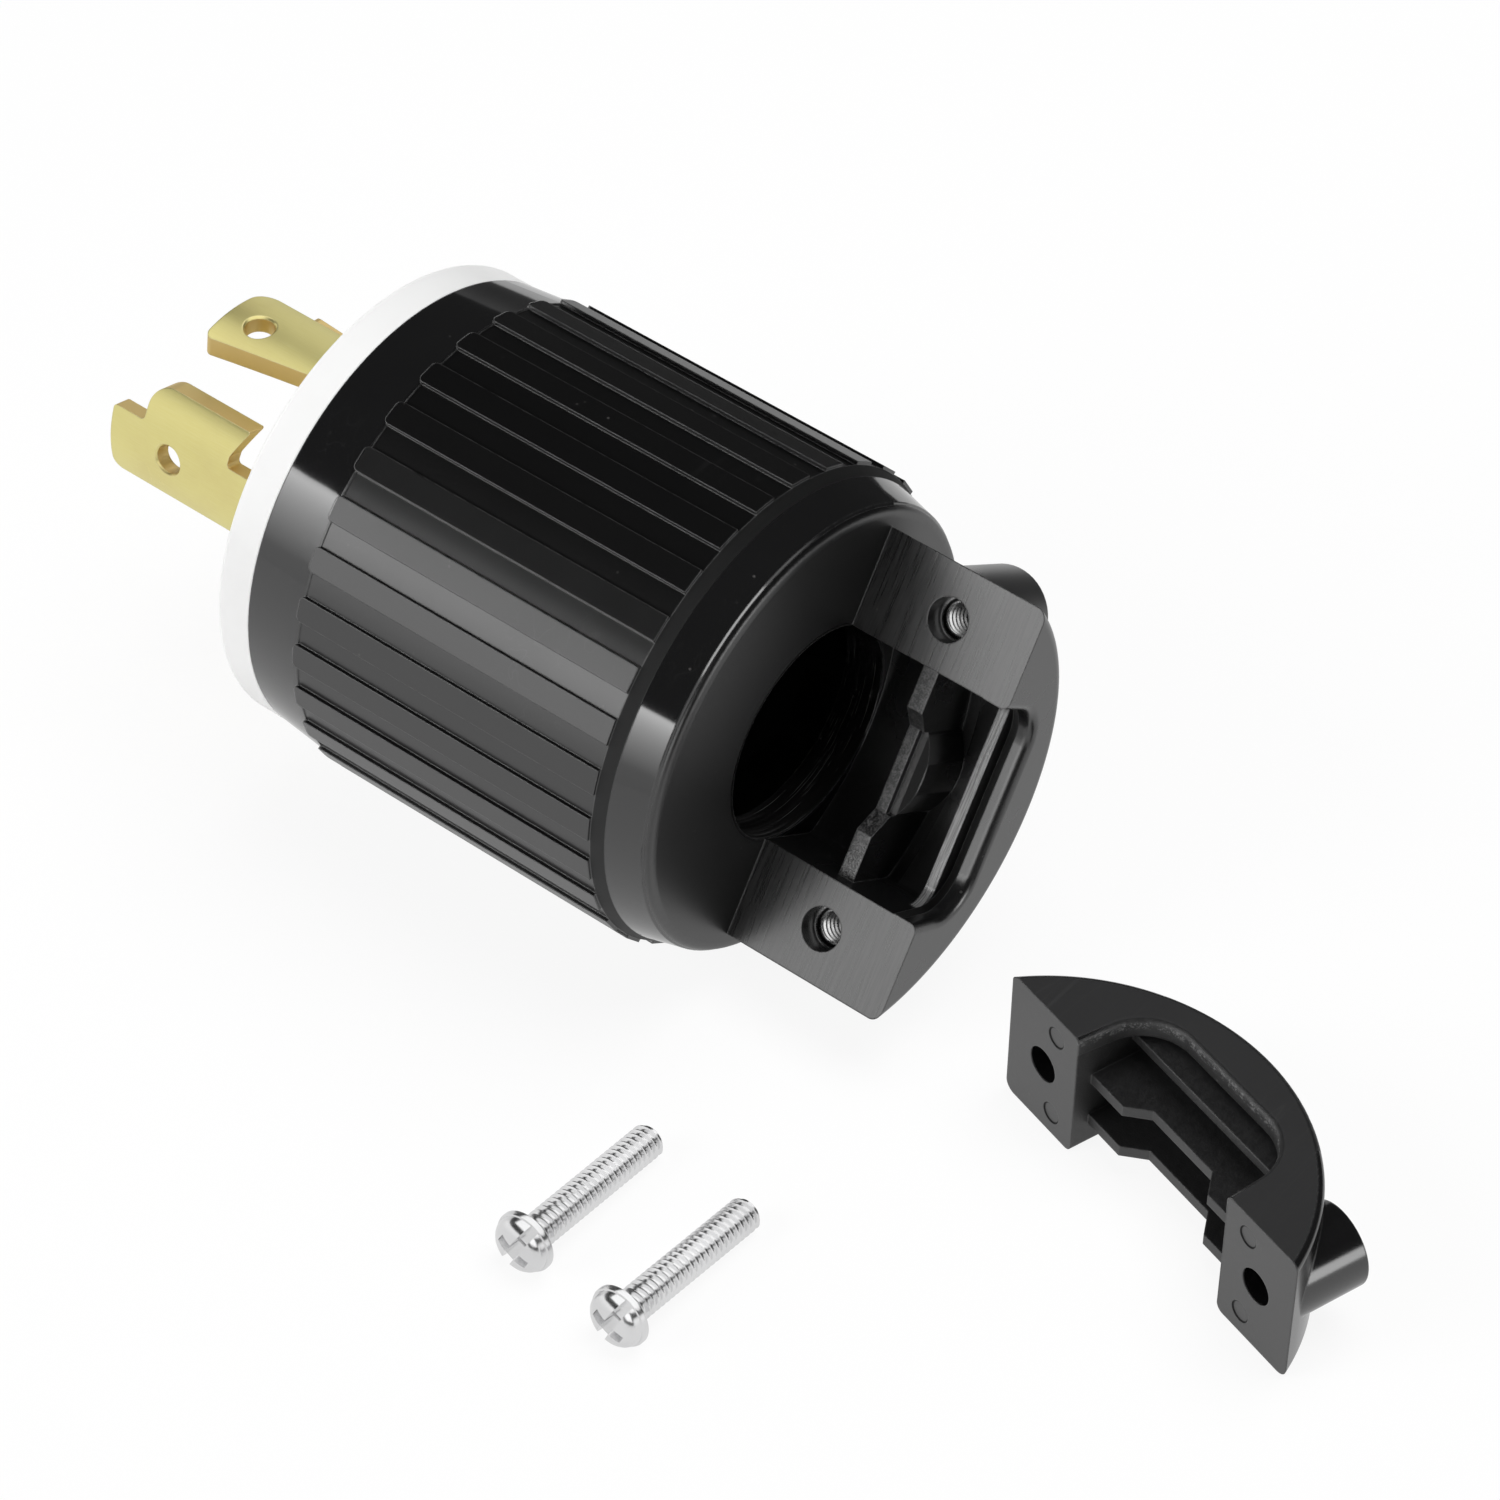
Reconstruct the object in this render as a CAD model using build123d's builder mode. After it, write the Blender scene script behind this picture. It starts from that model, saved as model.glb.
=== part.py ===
from build123d import *
from math import asin, atan, cos, degrees, radians, sin, sqrt
import os

# A four-blade locking power plug, laid on its side with the loose half of its cord clamp and the
# two clamp screws beside it. Sizes are in millimetres.
#
# The plug's own frame: x runs along its axis from the front edge of the black housing to the rear,
# w runs across the mouth of the cord clamp from ear to ear, and n stands square on the clamp's
# split plane. Angles round the axis start at +w and turn towards +n.

# Housing, the black shell
rib_top_r = 28.75            # flat tops of the grip ribs, measured square from the axis
rib_height = 0.45
ring_drop = 0.35             # the smooth rings lie this far under the ribs' tops
front_taper = 0.8            # how much the front ring narrows towards its edge
ring_length = 7.9
grip_end_x = 48.9            # rear end of the grip ribs
bevel_length = 1.5
bevel_drop = 0.7
cone_end_x = 54.5
cone_drop = 1.7              # from the ring's radius to the rear end of its cone
rear_face_x = 55.4
rear_face_drop = 3.1         # from the ring's radius to the flat rear face
rear_step = 0.3              # small step round the rear rim
rear_step_width = 0.2
shell_wall = 2.8
rear_wall = 4.9
cavity_corner_r = 2.0

# Grip ribs
rib_count = 30
rib_width = 3.0
rib_start_x = 7.4
rib_corner_r = 0.7
rib_root = 0.6               # how far a rib reaches into the skin
rib_phase = 9.35             # angle of the first rib, which puts one straight under the plug

# Fixed half of the cord clamp, moulded on the rear wall
ear_width = 11.535           # from the clamp's mouth to an ear's outer edge
jaw_end_x = 76.07
arch_inset = 1.75            # the clamp's round back lies this far inside the ribs' tops
arch_offset = 11.8           # from the split plane to the back's centre
arch_wall = 2.2
jaw_edge_r = 1.3
trough_corner_r = 1.2
split_overrun = 1.0          # how far above the split plane its cuts begin
window_pick_margin = 1.0     # every edge of a cable window lies inside the mouth's circle and this

# Clamp screw holes in the ears
hole_x = 65.65
hole_inset = 5.945           # from an ear's outer edge
boss_r = 5.6
boss_depth = 11.7            # from the split plane to the boss's end
boss_start = 1.0             # the bosses begin this far under the split plane
entry_r = 2.45               # plain entry above the thread
insert_depth = 3.0
insert_length = 6.5
insert_r = 3.1
insert_flange_r = 3.5
insert_flange = 1.0
insert_fit = 0.02
screw_run_out = 1.1

# Window in the clamp's rear end
ledge_front_x = 71.6
ledge_thickness = 1.3
ledge_n = 7.2                # split plane to the inner ledge's top
ledge_corner_r = 2.3
groove_width = 1.2
groove_n = 9.2
lip_n = 8.3                  # split plane to the outer lip
lip_corner_r = 4.6
lip_lean = 0.7               # how much the window narrows towards its lip
lip_edge_r = 1.0             # round at the lip's outer edge

# Wavy cord ribs
cord_rib_edge_n = 2.1
cord_rib_dip_n = 4.4
cord_rib_dip_w = 5.0
cord_rib_slope_w = 7.3
fixed_rib_x = 64.0
rib_bite = 0.3               # how far a cord rib reaches into the walls beside it
fixed_rib_thickness = 2.0
rib_thin_thickness = 1.35    # the rib is thinner in its dip
pad_reach = 1.6              # half-round pad standing behind the dip
pad_n = 5.2                  # split plane to the pad's top

# White front body
front_face_x = -4.7
front_edge_round = 0.8
spigot_length = 2.8
spigot_fit = 0.3             # radial play of spigot and carrier in the shell
slot_fit = 0.1               # play round a blade in its slots

# Terminal carrier
carrier_end_x = 24.2
pocket_inner_r = 6.3
pocket_outer_r = 14.5
pocket_half_width = 5.0
pocket_start_x = 5.6
access_r = 3.9

# Contact blades, curved round the axis
blade_outer_r = 14.0
blade_thickness = 2.0
blade_hole_r = 1.7
blade_hole_rim = 0.25
tail_half_width = 4.0
tail_end_x = 18.0
shoulder_reach = 1.6         # how far a blade's shoulders stand out past its neck
shoulder_length = 1.6
neck_notch_depth = 1.5
tail_overlap = 0.1
blade_corner_r = 0.5
heel_corner_r = 0.2          # sharp corners at the rear of a blade's head

ground_angle = 108.6
ground_half_width = 6.55
ground_tip_x = -33.4
ground_tab_length = 4.5
ground_tab_edge = -1.9
ground_head_end_x = -15.0
ground_hole_x = -24.8
ground_hole_offset = 1.3
ground_tip_corner_r = 1.3
ground_hook_r = 2.6          # round step from the hooked tip to the head
ground_notch_slant = 1.3

line_angles = {"blade_x": 27.0, "blade_neutral": 207.0, "blade_y": 297.0}
line_half_width = 4.0
line_tip_flare = 2.1         # extra width on one side at the tip
line_tip_x = -27.1
line_head_end_x = -10.4
line_hole_x = -22.7
line_hole_offset = 1.7
line_near_corner_r = 0.9
line_far_corner_r = 2.4
line_notch_slant = 1.0
line_notch_r = 0.4
line_neck_step = 2.6         # how much narrower the neck is than the head
line_root_length = 8.0       # straight part in front of the front body

# Terminal screws and pressure plates
terminal_x = 12.4
terminal_screw_r = 2.0
terminal_head_r = 3.5
terminal_head_height = 2.4
terminal_slot_depth = 1.2
thread_fit = 0.05            # radial play in every screw hole with a thread
hole_fit = 0.25              # radial play in every plain screw hole
plate_inner_r = 7.0
plate_thickness = 1.8
plate_half_width = 4.2
plate_half_length = 4.0
plate_corner_r = 1.0
terminal_screw_end_r = 6.5

# Assembly screws, from the front face into the shell
assembly_angles = (153.6, 333.6)
assembly_inset = 5.2         # from the shell's inside to the screws' axes
assembly_screw_r = 1.75
assembly_head_r = 3.4
assembly_head_height = 2.2
assembly_slot_depth = 1.1
counterbore_fit = 0.3
counterbore_depth = 2.6
assembly_screw_end_x = 38.0
shell_boss_r = 4.0
shell_boss_web = 3.0
shell_boss_bite = 0.5        # how far its web reaches into the shell's wall
shell_boss_spare = 2.0       # hole left below the screw's end

# Loose half of the cord clamp, standing on its front end
clamp_length = 17.4
clamp_hole_r = 2.15
clamp_boss_r = 4.9
clamp_boss_n = 10.75
clamp_plate = 2.3            # thickness of the rear end plate
clamp_window_n = 9.9
clamp_window_corner_r = 6.0
clamp_window_lean = 0.8
clamp_window_edge_r = 0.7
clamp_ledge_n = 7.3
clamp_ledge_drop = 2.9
clamp_ledge_thickness = 1.2
clamp_rib_thickness = 1.4
clamp_rib_heights = (3.4, 9.6)
clamp_foot_corner_r = 1.3
clamp_edge_r = 0.9
clamp_mouth_corner_r = 1.0   # foot corners beside the mouth
mark_r = 1.3                 # ejector marks on the split faces
mark_depth = 0.12
mark_shift = 1.94            # the marks lie this far from the holes, towards the mouth
mark_inset = 2.9
clamp_x = 110.71             # middle of its split face, from the plug's front edge
clamp_y = -12.25
clamp_heading = -16.8

# Clamp screws, lying on the floor
screw_r = 2.0
screw_length = 20.0
screw_tip_chamfer = 0.4
screw_head_r = 3.55
screw_head_height = 2.75
head_side_height = 0.85
head_dome_height = 2.17      # a point on the domed top, above the seat
head_dome_r = 2.2
screw_slot_width = 1.1
screw_slot_depth = 1.5
cross_width = 1.2
cross_length = 4.6
cross_depth = 1.7
screw_heads = {"clamp_screw_1": (64.4, -56.7), "clamp_screw_2": (78.4, -58.1)}
screw_headings = {"clamp_screw_1": 90.3, "clamp_screw_2": 89.4}
screw_turns = {"clamp_screw_1": 116.0, "clamp_screw_2": 114.0}
slot_overrun = 0.3           # how far above a head its slot's cutter starts

# Attitude: how far the w direction climbs above the floor
plug_roll = 56.65

# Sizes that follow from the ribs' tops
valley_r = rib_top_r - rib_height
ring_r = rib_top_r - ring_drop
front_edge_r = ring_r - front_taper
front_body_r = front_edge_r
bevel_r = ring_r - bevel_drop
cone_end_r = ring_r - cone_drop
rear_face_r = ring_r - rear_face_drop
cavity_r = valley_r - shell_wall
carrier_r = cavity_r - spigot_fit
assembly_circle_r = cavity_r - assembly_inset
arch_r = rib_top_r - arch_inset
ear_outer_w = sqrt(arch_r**2 - arch_offset**2)
ear_inner_w = ear_outer_w - ear_width
wire_bore_r = ear_inner_w
window_pick_r = ear_inner_w + window_pick_margin
hole_w = ear_outer_w - hole_inset
mark_w = hole_w - mark_shift

# Whole set: the origin is on the floor under the middle of everything
screw_tilt = degrees(atan((screw_head_r - screw_r) / (screw_length - screw_tip_chamfer)))
clamp_wide = (hole_w + clamp_boss_r) * cos(radians(clamp_heading))
clamp_deep = clamp_boss_n * sin(radians(clamp_heading))
right_end = clamp_x + clamp_wide - clamp_deep
near_end = min(y for x, y in screw_heads.values()) - screw_head_height
shift_x = -(ground_tip_x + right_end) / 2
shift_y = -(rib_top_r + near_end) / 2
axis_point = Vector(shift_x, shift_y, rib_top_r)
plug_axis = Axis(axis_point, (1, 0, 0))
w_dir = Vector(0, cos(radians(plug_roll)), sin(radians(plug_roll)))
n_dir = Vector(0, -sin(radians(plug_roll)), cos(radians(plug_roll)))

blade_inner_r = blade_outer_r - blade_thickness
sector_reach = 60            # longer than any cut has to be


def cross_plane(x):
    """Section plane across the plug at x: sketch axes are w and n."""
    return Plane(origin=axis_point + Vector(x, 0, 0), x_dir=w_dir, z_dir=(1, 0, 0))


def split_plane(n):
    """Plane parallel to the clamp's split at height n: sketch axes are x and w."""
    return Plane(origin=axis_point + n_dir * n, x_dir=(1, 0, 0), z_dir=n_dir)


def radial_plane(angle, radius):
    """Plane square to a radius: sketch axes are round the plug (rising angle) and x."""
    out = w_dir * cos(radians(angle)) + n_dir * sin(radians(angle))
    around = n_dir * cos(radians(angle)) - w_dir * sin(radians(angle))
    return Plane(origin=axis_point + out * radius, x_dir=around, z_dir=out)


def ring(inner_r, outer_r):
    """Draw a ring in the current section sketch."""
    Circle(outer_r)
    Circle(inner_r, mode=Mode.SUBTRACT)


def arch(radius, half_width, edge, side):
    """Draw the area between a split line and the clamp's round back; side is -1 or 1."""
    with Locations((0, -side * arch_offset)):
        Circle(radius)
    with Locations((0, side * edge)):
        Rectangle(2 * half_width, 2 * arch_r, align=(Align.CENTER, Align.MAX if side < 0 else Align.MIN),
                  mode=Mode.INTERSECT)


def wavy_lines(side):
    """Draw a cord rib's outline, down to well past the round back."""
    Polyline(
        (-ear_inner_w - rib_bite, side * cord_rib_edge_n),
        (-cord_rib_slope_w, side * cord_rib_edge_n),
        (-cord_rib_dip_w, side * cord_rib_dip_n),
        (cord_rib_dip_w, side * cord_rib_dip_n),
        (cord_rib_slope_w, side * cord_rib_edge_n),
        (ear_inner_w + rib_bite, side * cord_rib_edge_n),
        (ear_inner_w + rib_bite, side * arch_r),
        (-ear_inner_w - rib_bite, side * arch_r),
        close=True,
    )


def keep_inside_back(side):
    """Trim the current sketch at the middle of the round back's wall."""
    with Locations((0, -side * arch_offset)):
        Circle(arch_r - arch_wall / 2, mode=Mode.INTERSECT)


def window_lines(depth, lean, corner_r, side):
    """Draw the opening in a clamp's end plate, open at the split line."""
    half_width = ear_inner_w
    FilletPolyline(
        (-half_width, -side * split_overrun),
        (-half_width + lean, side * depth),
        (half_width - lean, side * depth),
        (half_width, -side * split_overrun),
        radius=[0, corner_r, corner_r, 0],
        close=True,
    )


# Housing
with BuildPart() as housing:
    with BuildSketch(split_plane(0)):
        with BuildLine():
            rim_start = (cone_end_x + rear_step_width, cone_end_r - rear_step)
            Polyline(
                (rear_face_x, rear_face_r),
                (rear_face_x, wire_bore_r),
                (rear_face_x - rear_wall, wire_bore_r),
                (rear_face_x - rear_wall, cavity_r - cavity_corner_r),
                (rear_face_x - rear_wall - cavity_corner_r, cavity_r),
                (0, cavity_r),
                (0, front_edge_r),
                (ring_length, ring_r),
                (ring_length, valley_r),
                (grip_end_x, valley_r),
                (grip_end_x, ring_r),
                (grip_end_x + bevel_length, bevel_r),
                (cone_end_x, cone_end_r),
                rim_start,
            )
            Bezier(rim_start, (rear_face_x, cone_end_r - rear_step), (rear_face_x, rear_face_r))
        make_face()
    revolve(axis=plug_axis)

    rib_planes = [radial_plane(rib_phase + k * 360 / rib_count, rib_top_r) for k in range(rib_count)]
    with BuildSketch(*rib_planes):
        with BuildLine():
            half = rib_width / 2
            FilletPolyline(
                (-half, rib_start_x),
                (half, rib_start_x),
                (half, grip_end_x),
                (-half, grip_end_x),
                radius=[rib_corner_r, rib_corner_r, 0, 0],
                close=True,
            )
        make_face()
    extrude(amount=-(rib_top_r - valley_r + rib_root))

    # the cord clamp's fixed half and its two screw bosses
    with BuildSketch(cross_plane(rear_face_x - rear_wall / 2)):
        arch(arch_r, arch_r, 0, -1)
    extrude(amount=jaw_end_x - rear_face_x + rear_wall / 2)
    fillet(housing.faces().sort_by(Axis.X)[-1].edges().filter_by(GeomType.CIRCLE), jaw_edge_r)
    with BuildSketch(cross_plane(rear_face_x)):
        Circle(wire_bore_r)
    extrude(amount=-rear_wall, mode=Mode.SUBTRACT)
    with BuildSketch(split_plane(-boss_depth)):
        with Locations((hole_x, hole_w), (hole_x, -hole_w)):
            Circle(boss_r)
    extrude(amount=boss_depth - boss_start)

    # trough, inner ledge, groove and lip of the cable window
    with BuildSketch(cross_plane(rear_face_x)) as trough:
        arch(arch_r - arch_wall, ear_inner_w, -split_overrun, -1)
        fillet(trough.vertices().group_by(Axis.Y)[0], trough_corner_r)
    extrude(amount=ledge_front_x - rear_face_x, mode=Mode.SUBTRACT)
    with BuildSketch(cross_plane(ledge_front_x)):
        with BuildLine():
            window_lines(ledge_n, 0, ledge_corner_r, -1)
        make_face()
    extrude(amount=ledge_thickness, mode=Mode.SUBTRACT)
    groove_x = ledge_front_x + ledge_thickness
    with BuildSketch(cross_plane(groove_x)):
        with BuildLine():
            window_lines(groove_n, lip_lean, lip_corner_r, -1)
        make_face()
    extrude(amount=groove_width, mode=Mode.SUBTRACT)
    with BuildSketch(cross_plane(groove_x + groove_width)):
        with BuildLine():
            window_lines(lip_n, lip_lean, lip_corner_r, -1)
        make_face()
    extrude(amount=jaw_end_x, mode=Mode.SUBTRACT)
    end_middle = axis_point + Vector(jaw_end_x, 0, 0)
    end_edges = housing.faces().sort_by(Axis.X)[-1].edges()
    fillet(end_edges.filter_by(lambda e: (e.center() - end_middle).length < window_pick_r), lip_edge_r)

    # cord rib with the round pad behind it
    with BuildSketch(cross_plane(fixed_rib_x)):
        with BuildLine():
            wavy_lines(-1)
        make_face()
        keep_inside_back(-1)
    extrude(amount=fixed_rib_thickness)
    rib_rear_x = fixed_rib_x + fixed_rib_thickness
    with BuildSketch(split_plane(-pad_n)):
        with Locations((rib_rear_x, 0)):
            Rectangle(2 * (fixed_rib_thickness - rib_thin_thickness), 2 * cord_rib_dip_w)
    extrude(amount=pad_n, mode=Mode.SUBTRACT)
    with BuildSketch(split_plane(-pad_n)):
        with BuildLine():
            ThreePointArc(
                (rib_rear_x, -cord_rib_dip_w), (rib_rear_x + pad_reach, 0), (rib_rear_x, cord_rib_dip_w)
            )
            Polyline(
                (rib_rear_x, cord_rib_dip_w),
                (rib_rear_x - fixed_rib_thickness / 2, cord_rib_dip_w),
                (rib_rear_x - fixed_rib_thickness / 2, -cord_rib_dip_w),
                (rib_rear_x, -cord_rib_dip_w),
            )
        make_face()
    extrude(amount=-(arch_r - arch_offset - arch_wall / 2 - pad_n))

    # screw holes in the ears, with a seat for the threaded inserts
    with BuildSketch(split_plane(0)):
        with Locations((hole_x, hole_w), (hole_x, -hole_w)):
            Circle(entry_r)
    extrude(amount=-(insert_depth + insert_length + screw_run_out), mode=Mode.SUBTRACT)
    with BuildSketch(split_plane(-insert_depth)):
        with Locations((hole_x, hole_w), (hole_x, -hole_w)):
            Circle(insert_r + insert_fit)
    extrude(amount=-insert_length, mode=Mode.SUBTRACT)
    with BuildSketch(split_plane(-insert_depth - insert_length)):
        with Locations((hole_x, hole_w), (hole_x, -hole_w)):
            Circle(insert_flange_r + insert_fit)
    extrude(amount=insert_flange, mode=Mode.SUBTRACT)

    # bosses inside the shell for the assembly screws
    boss_span = rear_face_x - rear_wall / 2 - carrier_end_x
    with BuildSketch(cross_plane(carrier_end_x)):
        for angle in assembly_angles:
            with PolarLocations(assembly_circle_r, 1, start_angle=angle):
                Circle(shell_boss_r)
                Rectangle(cavity_r - assembly_circle_r + shell_boss_bite, shell_boss_web,
                          align=(Align.MIN, Align.CENTER))
    extrude(amount=boss_span)
    with BuildSketch(cross_plane(carrier_end_x)):
        for angle in assembly_angles:
            with PolarLocations(assembly_circle_r, 1, start_angle=angle):
                Circle(assembly_screw_r + thread_fit)
    extrude(amount=assembly_screw_end_x + shell_boss_spare - carrier_end_x, mode=Mode.SUBTRACT)
housing.part.label = "housing"


# Threaded inserts moulded into the ears
def threaded_insert(w, label):
    with BuildPart() as insert:
        with BuildSketch(split_plane(-insert_depth)):
            with Locations((hole_x, w)):
                Circle(insert_r)
        extrude(amount=-insert_length)
        with BuildSketch(split_plane(-insert_depth - insert_length)):
            with Locations((hole_x, w)):
                Circle(insert_flange_r)
        extrude(amount=insert_flange)
        with BuildSketch(split_plane(-insert_depth)):
            with Locations((hole_x, w)):
                Circle(screw_r + thread_fit)
        extrude(amount=-insert_length, mode=Mode.SUBTRACT)
    insert.part.label = label
    return insert.part


inserts = [threaded_insert(hole_w, "threaded_insert_upper"), threaded_insert(-hole_w, "threaded_insert_lower")]


# Contact blades: the outline is stamped flat, then curved round the axis
def ground_outline():
    """Ground blade with its hooked tip, the locking notch, shoulders and terminal tail."""
    half = ground_half_width
    notch_x = ground_head_end_x - neck_notch_depth
    tab_end_x = ground_tip_x + ground_tab_length
    corners = [
        (half, ground_tip_x, ground_tip_corner_r),
        (ground_tab_edge, ground_tip_x, blade_corner_r),
        (ground_tab_edge, tab_end_x, blade_corner_r),
        (-half, tab_end_x, ground_hook_r),
        (-half, ground_head_end_x, heel_corner_r),
        (ground_tab_edge - ground_notch_slant, notch_x, blade_corner_r),
        (ground_tab_edge, notch_x, blade_corner_r),
        (ground_tab_edge, 0, 0),
        (-half, 0, 0),
        (-half, shoulder_x, 0),
        (half + shoulder_reach, shoulder_x, 0),
        (half + shoulder_reach, 0, 0),
        (half, 0, 0),
    ]
    FilletPolyline(*[corner[:2] for corner in corners], radius=[corner[2] for corner in corners], close=True)


def line_outline():
    """Line or neutral blade, with the locking notch beside its neck."""
    half = line_half_width
    notch_x = line_head_end_x - neck_notch_depth
    neck_edge = -half + line_neck_step
    corners = [
        (half + line_tip_flare, line_tip_x, line_near_corner_r),
        (-half, line_tip_x, line_far_corner_r),
        (-half, line_head_end_x, heel_corner_r),
        (neck_edge - line_notch_slant, notch_x, line_notch_r),
        (neck_edge, notch_x, blade_corner_r),
        (neck_edge, 0, 0),
        (-half, 0, 0),
        (-half, shoulder_x, 0),
        (half + shoulder_reach, shoulder_x, 0),
        (half + shoulder_reach, 0, 0),
        (half, 0, 0),
        (half, front_face_x - line_root_length, 0),
    ]
    FilletPolyline(*[corner[:2] for corner in corners], radius=[corner[2] for corner in corners], close=True)


shoulder_x = spigot_length + shoulder_length


def make_blade(label, angle, outline, tip_x, hole_at):
    with BuildPart() as blade:
        with BuildSketch(cross_plane(tip_x)):
            ring(blade_inner_r, blade_outer_r)
        extrude(amount=tail_end_x - tip_x)
        with BuildSketch(radial_plane(angle, 0)):
            with BuildLine():
                outline()
            make_face()
            with Locations((0, shoulder_x - tail_overlap)):
                Rectangle(2 * tail_half_width, tail_end_x, align=(Align.CENTER, Align.MIN))
            with Locations(hole_at):
                Circle(blade_hole_r, mode=Mode.SUBTRACT)
            with Locations((0, terminal_x)):
                Circle(terminal_screw_r + hole_fit, mode=Mode.SUBTRACT)
        extrude(amount=sector_reach, mode=Mode.INTERSECT)
        hole_centre = radial_plane(angle, blade_outer_r).from_local_coords(Vector(*hole_at))
        hole_rims = blade.edges().sort_by(lambda e: (e.center(CenterOf.BOUNDING_BOX) - hole_centre).length)
        chamfer(hole_rims[0], blade_hole_rim)
    blade.part.label = label
    return blade.part


blades = [
    make_blade("blade_ground", ground_angle, ground_outline, ground_tip_x, (ground_hole_offset, ground_hole_x))
]
for name, angle in line_angles.items():
    blades.append(make_blade(name, angle, line_outline, line_tip_x, (line_hole_offset, line_hole_x)))
terminal_angles = {"ground": ground_angle}
for name, angle in line_angles.items():
    terminal_angles[name.replace("blade_", "")] = angle


def slot_lines(angle, half_low, half_high):
    """Draw the slot that a blade's section passes through, with its play."""
    low = -half_low - slot_fit
    high = half_high + slot_fit
    inner = blade_inner_r - slot_fit
    outer = blade_outer_r + slot_fit
    for offset in (low, high):
        near = Vector(sqrt(inner**2 - offset**2), offset).rotate(Axis.Z, angle)
        far = Vector(sqrt(outer**2 - offset**2), offset).rotate(Axis.Z, angle)
        Line(near, far)
    for radius in (inner, outer):
        start = degrees(asin(low / radius))
        CenterArc((0, 0), radius, angle + start, degrees(asin(high / radius)) - start)


# White front body
with BuildPart() as front_body:
    with BuildSketch(cross_plane(front_face_x)):
        Circle(front_body_r)
    extrude(amount=-front_face_x)
    fillet(front_body.faces().sort_by(Axis.X)[0].edges(), front_edge_round)
    with BuildSketch(cross_plane(0)):
        Circle(carrier_r)
    extrude(amount=spigot_length)
    with BuildSketch(cross_plane(front_face_x)):
        with BuildLine():
            slot_lines(ground_angle, ground_half_width, ground_half_width)
        make_face()
        for angle in line_angles.values():
            with BuildLine():
                slot_lines(angle, line_half_width, line_half_width)
            make_face()
    extrude(amount=sector_reach, mode=Mode.SUBTRACT)
    with BuildSketch(cross_plane(0)):
        with BuildLine():
            slot_lines(ground_angle, ground_half_width, ground_half_width + shoulder_reach)
        make_face()
        for angle in line_angles.values():
            with BuildLine():
                slot_lines(angle, line_half_width, line_half_width + shoulder_reach)
            make_face()
    extrude(amount=spigot_length, mode=Mode.SUBTRACT)
    with BuildSketch(cross_plane(front_face_x)):
        for angle in assembly_angles:
            with PolarLocations(assembly_circle_r, 1, start_angle=angle):
                Circle(assembly_screw_r + hole_fit)
    extrude(amount=sector_reach, mode=Mode.SUBTRACT)
    with BuildSketch(cross_plane(front_face_x)):
        for angle in assembly_angles:
            with PolarLocations(assembly_circle_r, 1, start_angle=angle):
                Circle(assembly_head_r + counterbore_fit)
    extrude(amount=counterbore_depth, mode=Mode.SUBTRACT)
front_body.part.label = "front_body"

# Terminal carrier behind it
with BuildPart() as carrier:
    with BuildSketch(cross_plane(spigot_length)):
        Circle(carrier_r)
    extrude(amount=carrier_end_x - spigot_length)
    with BuildSketch(cross_plane(spigot_length)):
        with BuildLine():
            slot_lines(ground_angle, ground_half_width, ground_half_width + shoulder_reach)
        make_face()
        for angle in line_angles.values():
            with BuildLine():
                slot_lines(angle, line_half_width, line_half_width + shoulder_reach)
            make_face()
    extrude(amount=shoulder_length, mode=Mode.SUBTRACT)
    with BuildSketch(cross_plane(spigot_length + shoulder_length)):
        for angle in terminal_angles.values():
            with BuildLine():
                slot_lines(angle, tail_half_width, tail_half_width)
            make_face()
    extrude(amount=pocket_start_x, mode=Mode.SUBTRACT)
    with BuildSketch(cross_plane(pocket_start_x)):
        for angle in terminal_angles.values():
            with PolarLocations(pocket_inner_r, 1, start_angle=angle):
                Rectangle(pocket_outer_r - pocket_inner_r, 2 * pocket_half_width,
                          align=(Align.MIN, Align.CENTER))
    extrude(amount=sector_reach, mode=Mode.SUBTRACT)
    with BuildSketch(*[radial_plane(angle, blade_inner_r) for angle in terminal_angles.values()]):
        with Locations((0, terminal_x)):
            Circle(access_r)
    extrude(amount=sector_reach, mode=Mode.SUBTRACT)
    with BuildSketch(cross_plane(spigot_length)):
        for angle in assembly_angles:
            with PolarLocations(assembly_circle_r, 1, start_angle=angle):
                Circle(assembly_screw_r + hole_fit)
    extrude(amount=sector_reach, mode=Mode.SUBTRACT)
carrier.part.label = "terminal_carrier"


# Pressure plates and terminal screws
def pressure_plate(label, angle):
    with BuildPart() as plate:
        with BuildSketch(radial_plane(angle, plate_inner_r)):
            with Locations((0, terminal_x)):
                RectangleRounded(2 * plate_half_width, 2 * plate_half_length, plate_corner_r)
                Circle(terminal_screw_r + thread_fit, mode=Mode.SUBTRACT)
        extrude(amount=plate_thickness)
    plate.part.label = label
    return plate.part


def terminal_screw(label, angle):
    with BuildPart() as screw:
        with BuildSketch(radial_plane(angle, terminal_screw_end_r)):
            with Locations((0, terminal_x)):
                Circle(terminal_screw_r)
        extrude(amount=blade_outer_r - terminal_screw_end_r)
        with BuildSketch(radial_plane(angle, blade_outer_r)):
            with Locations((0, terminal_x)):
                Circle(terminal_head_r)
        extrude(amount=terminal_head_height)
        with BuildSketch(radial_plane(angle, blade_outer_r + terminal_head_height)):
            with Locations((0, terminal_x)):
                Rectangle(2 * terminal_head_r + slot_overrun, screw_slot_width)
        extrude(amount=-terminal_slot_depth, mode=Mode.SUBTRACT)
    screw.part.label = label
    return screw.part


terminals = []
for name, angle in terminal_angles.items():
    terminals.append(pressure_plate("pressure_plate_" + name, angle))
    terminals.append(terminal_screw("terminal_screw_" + name, angle))


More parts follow.
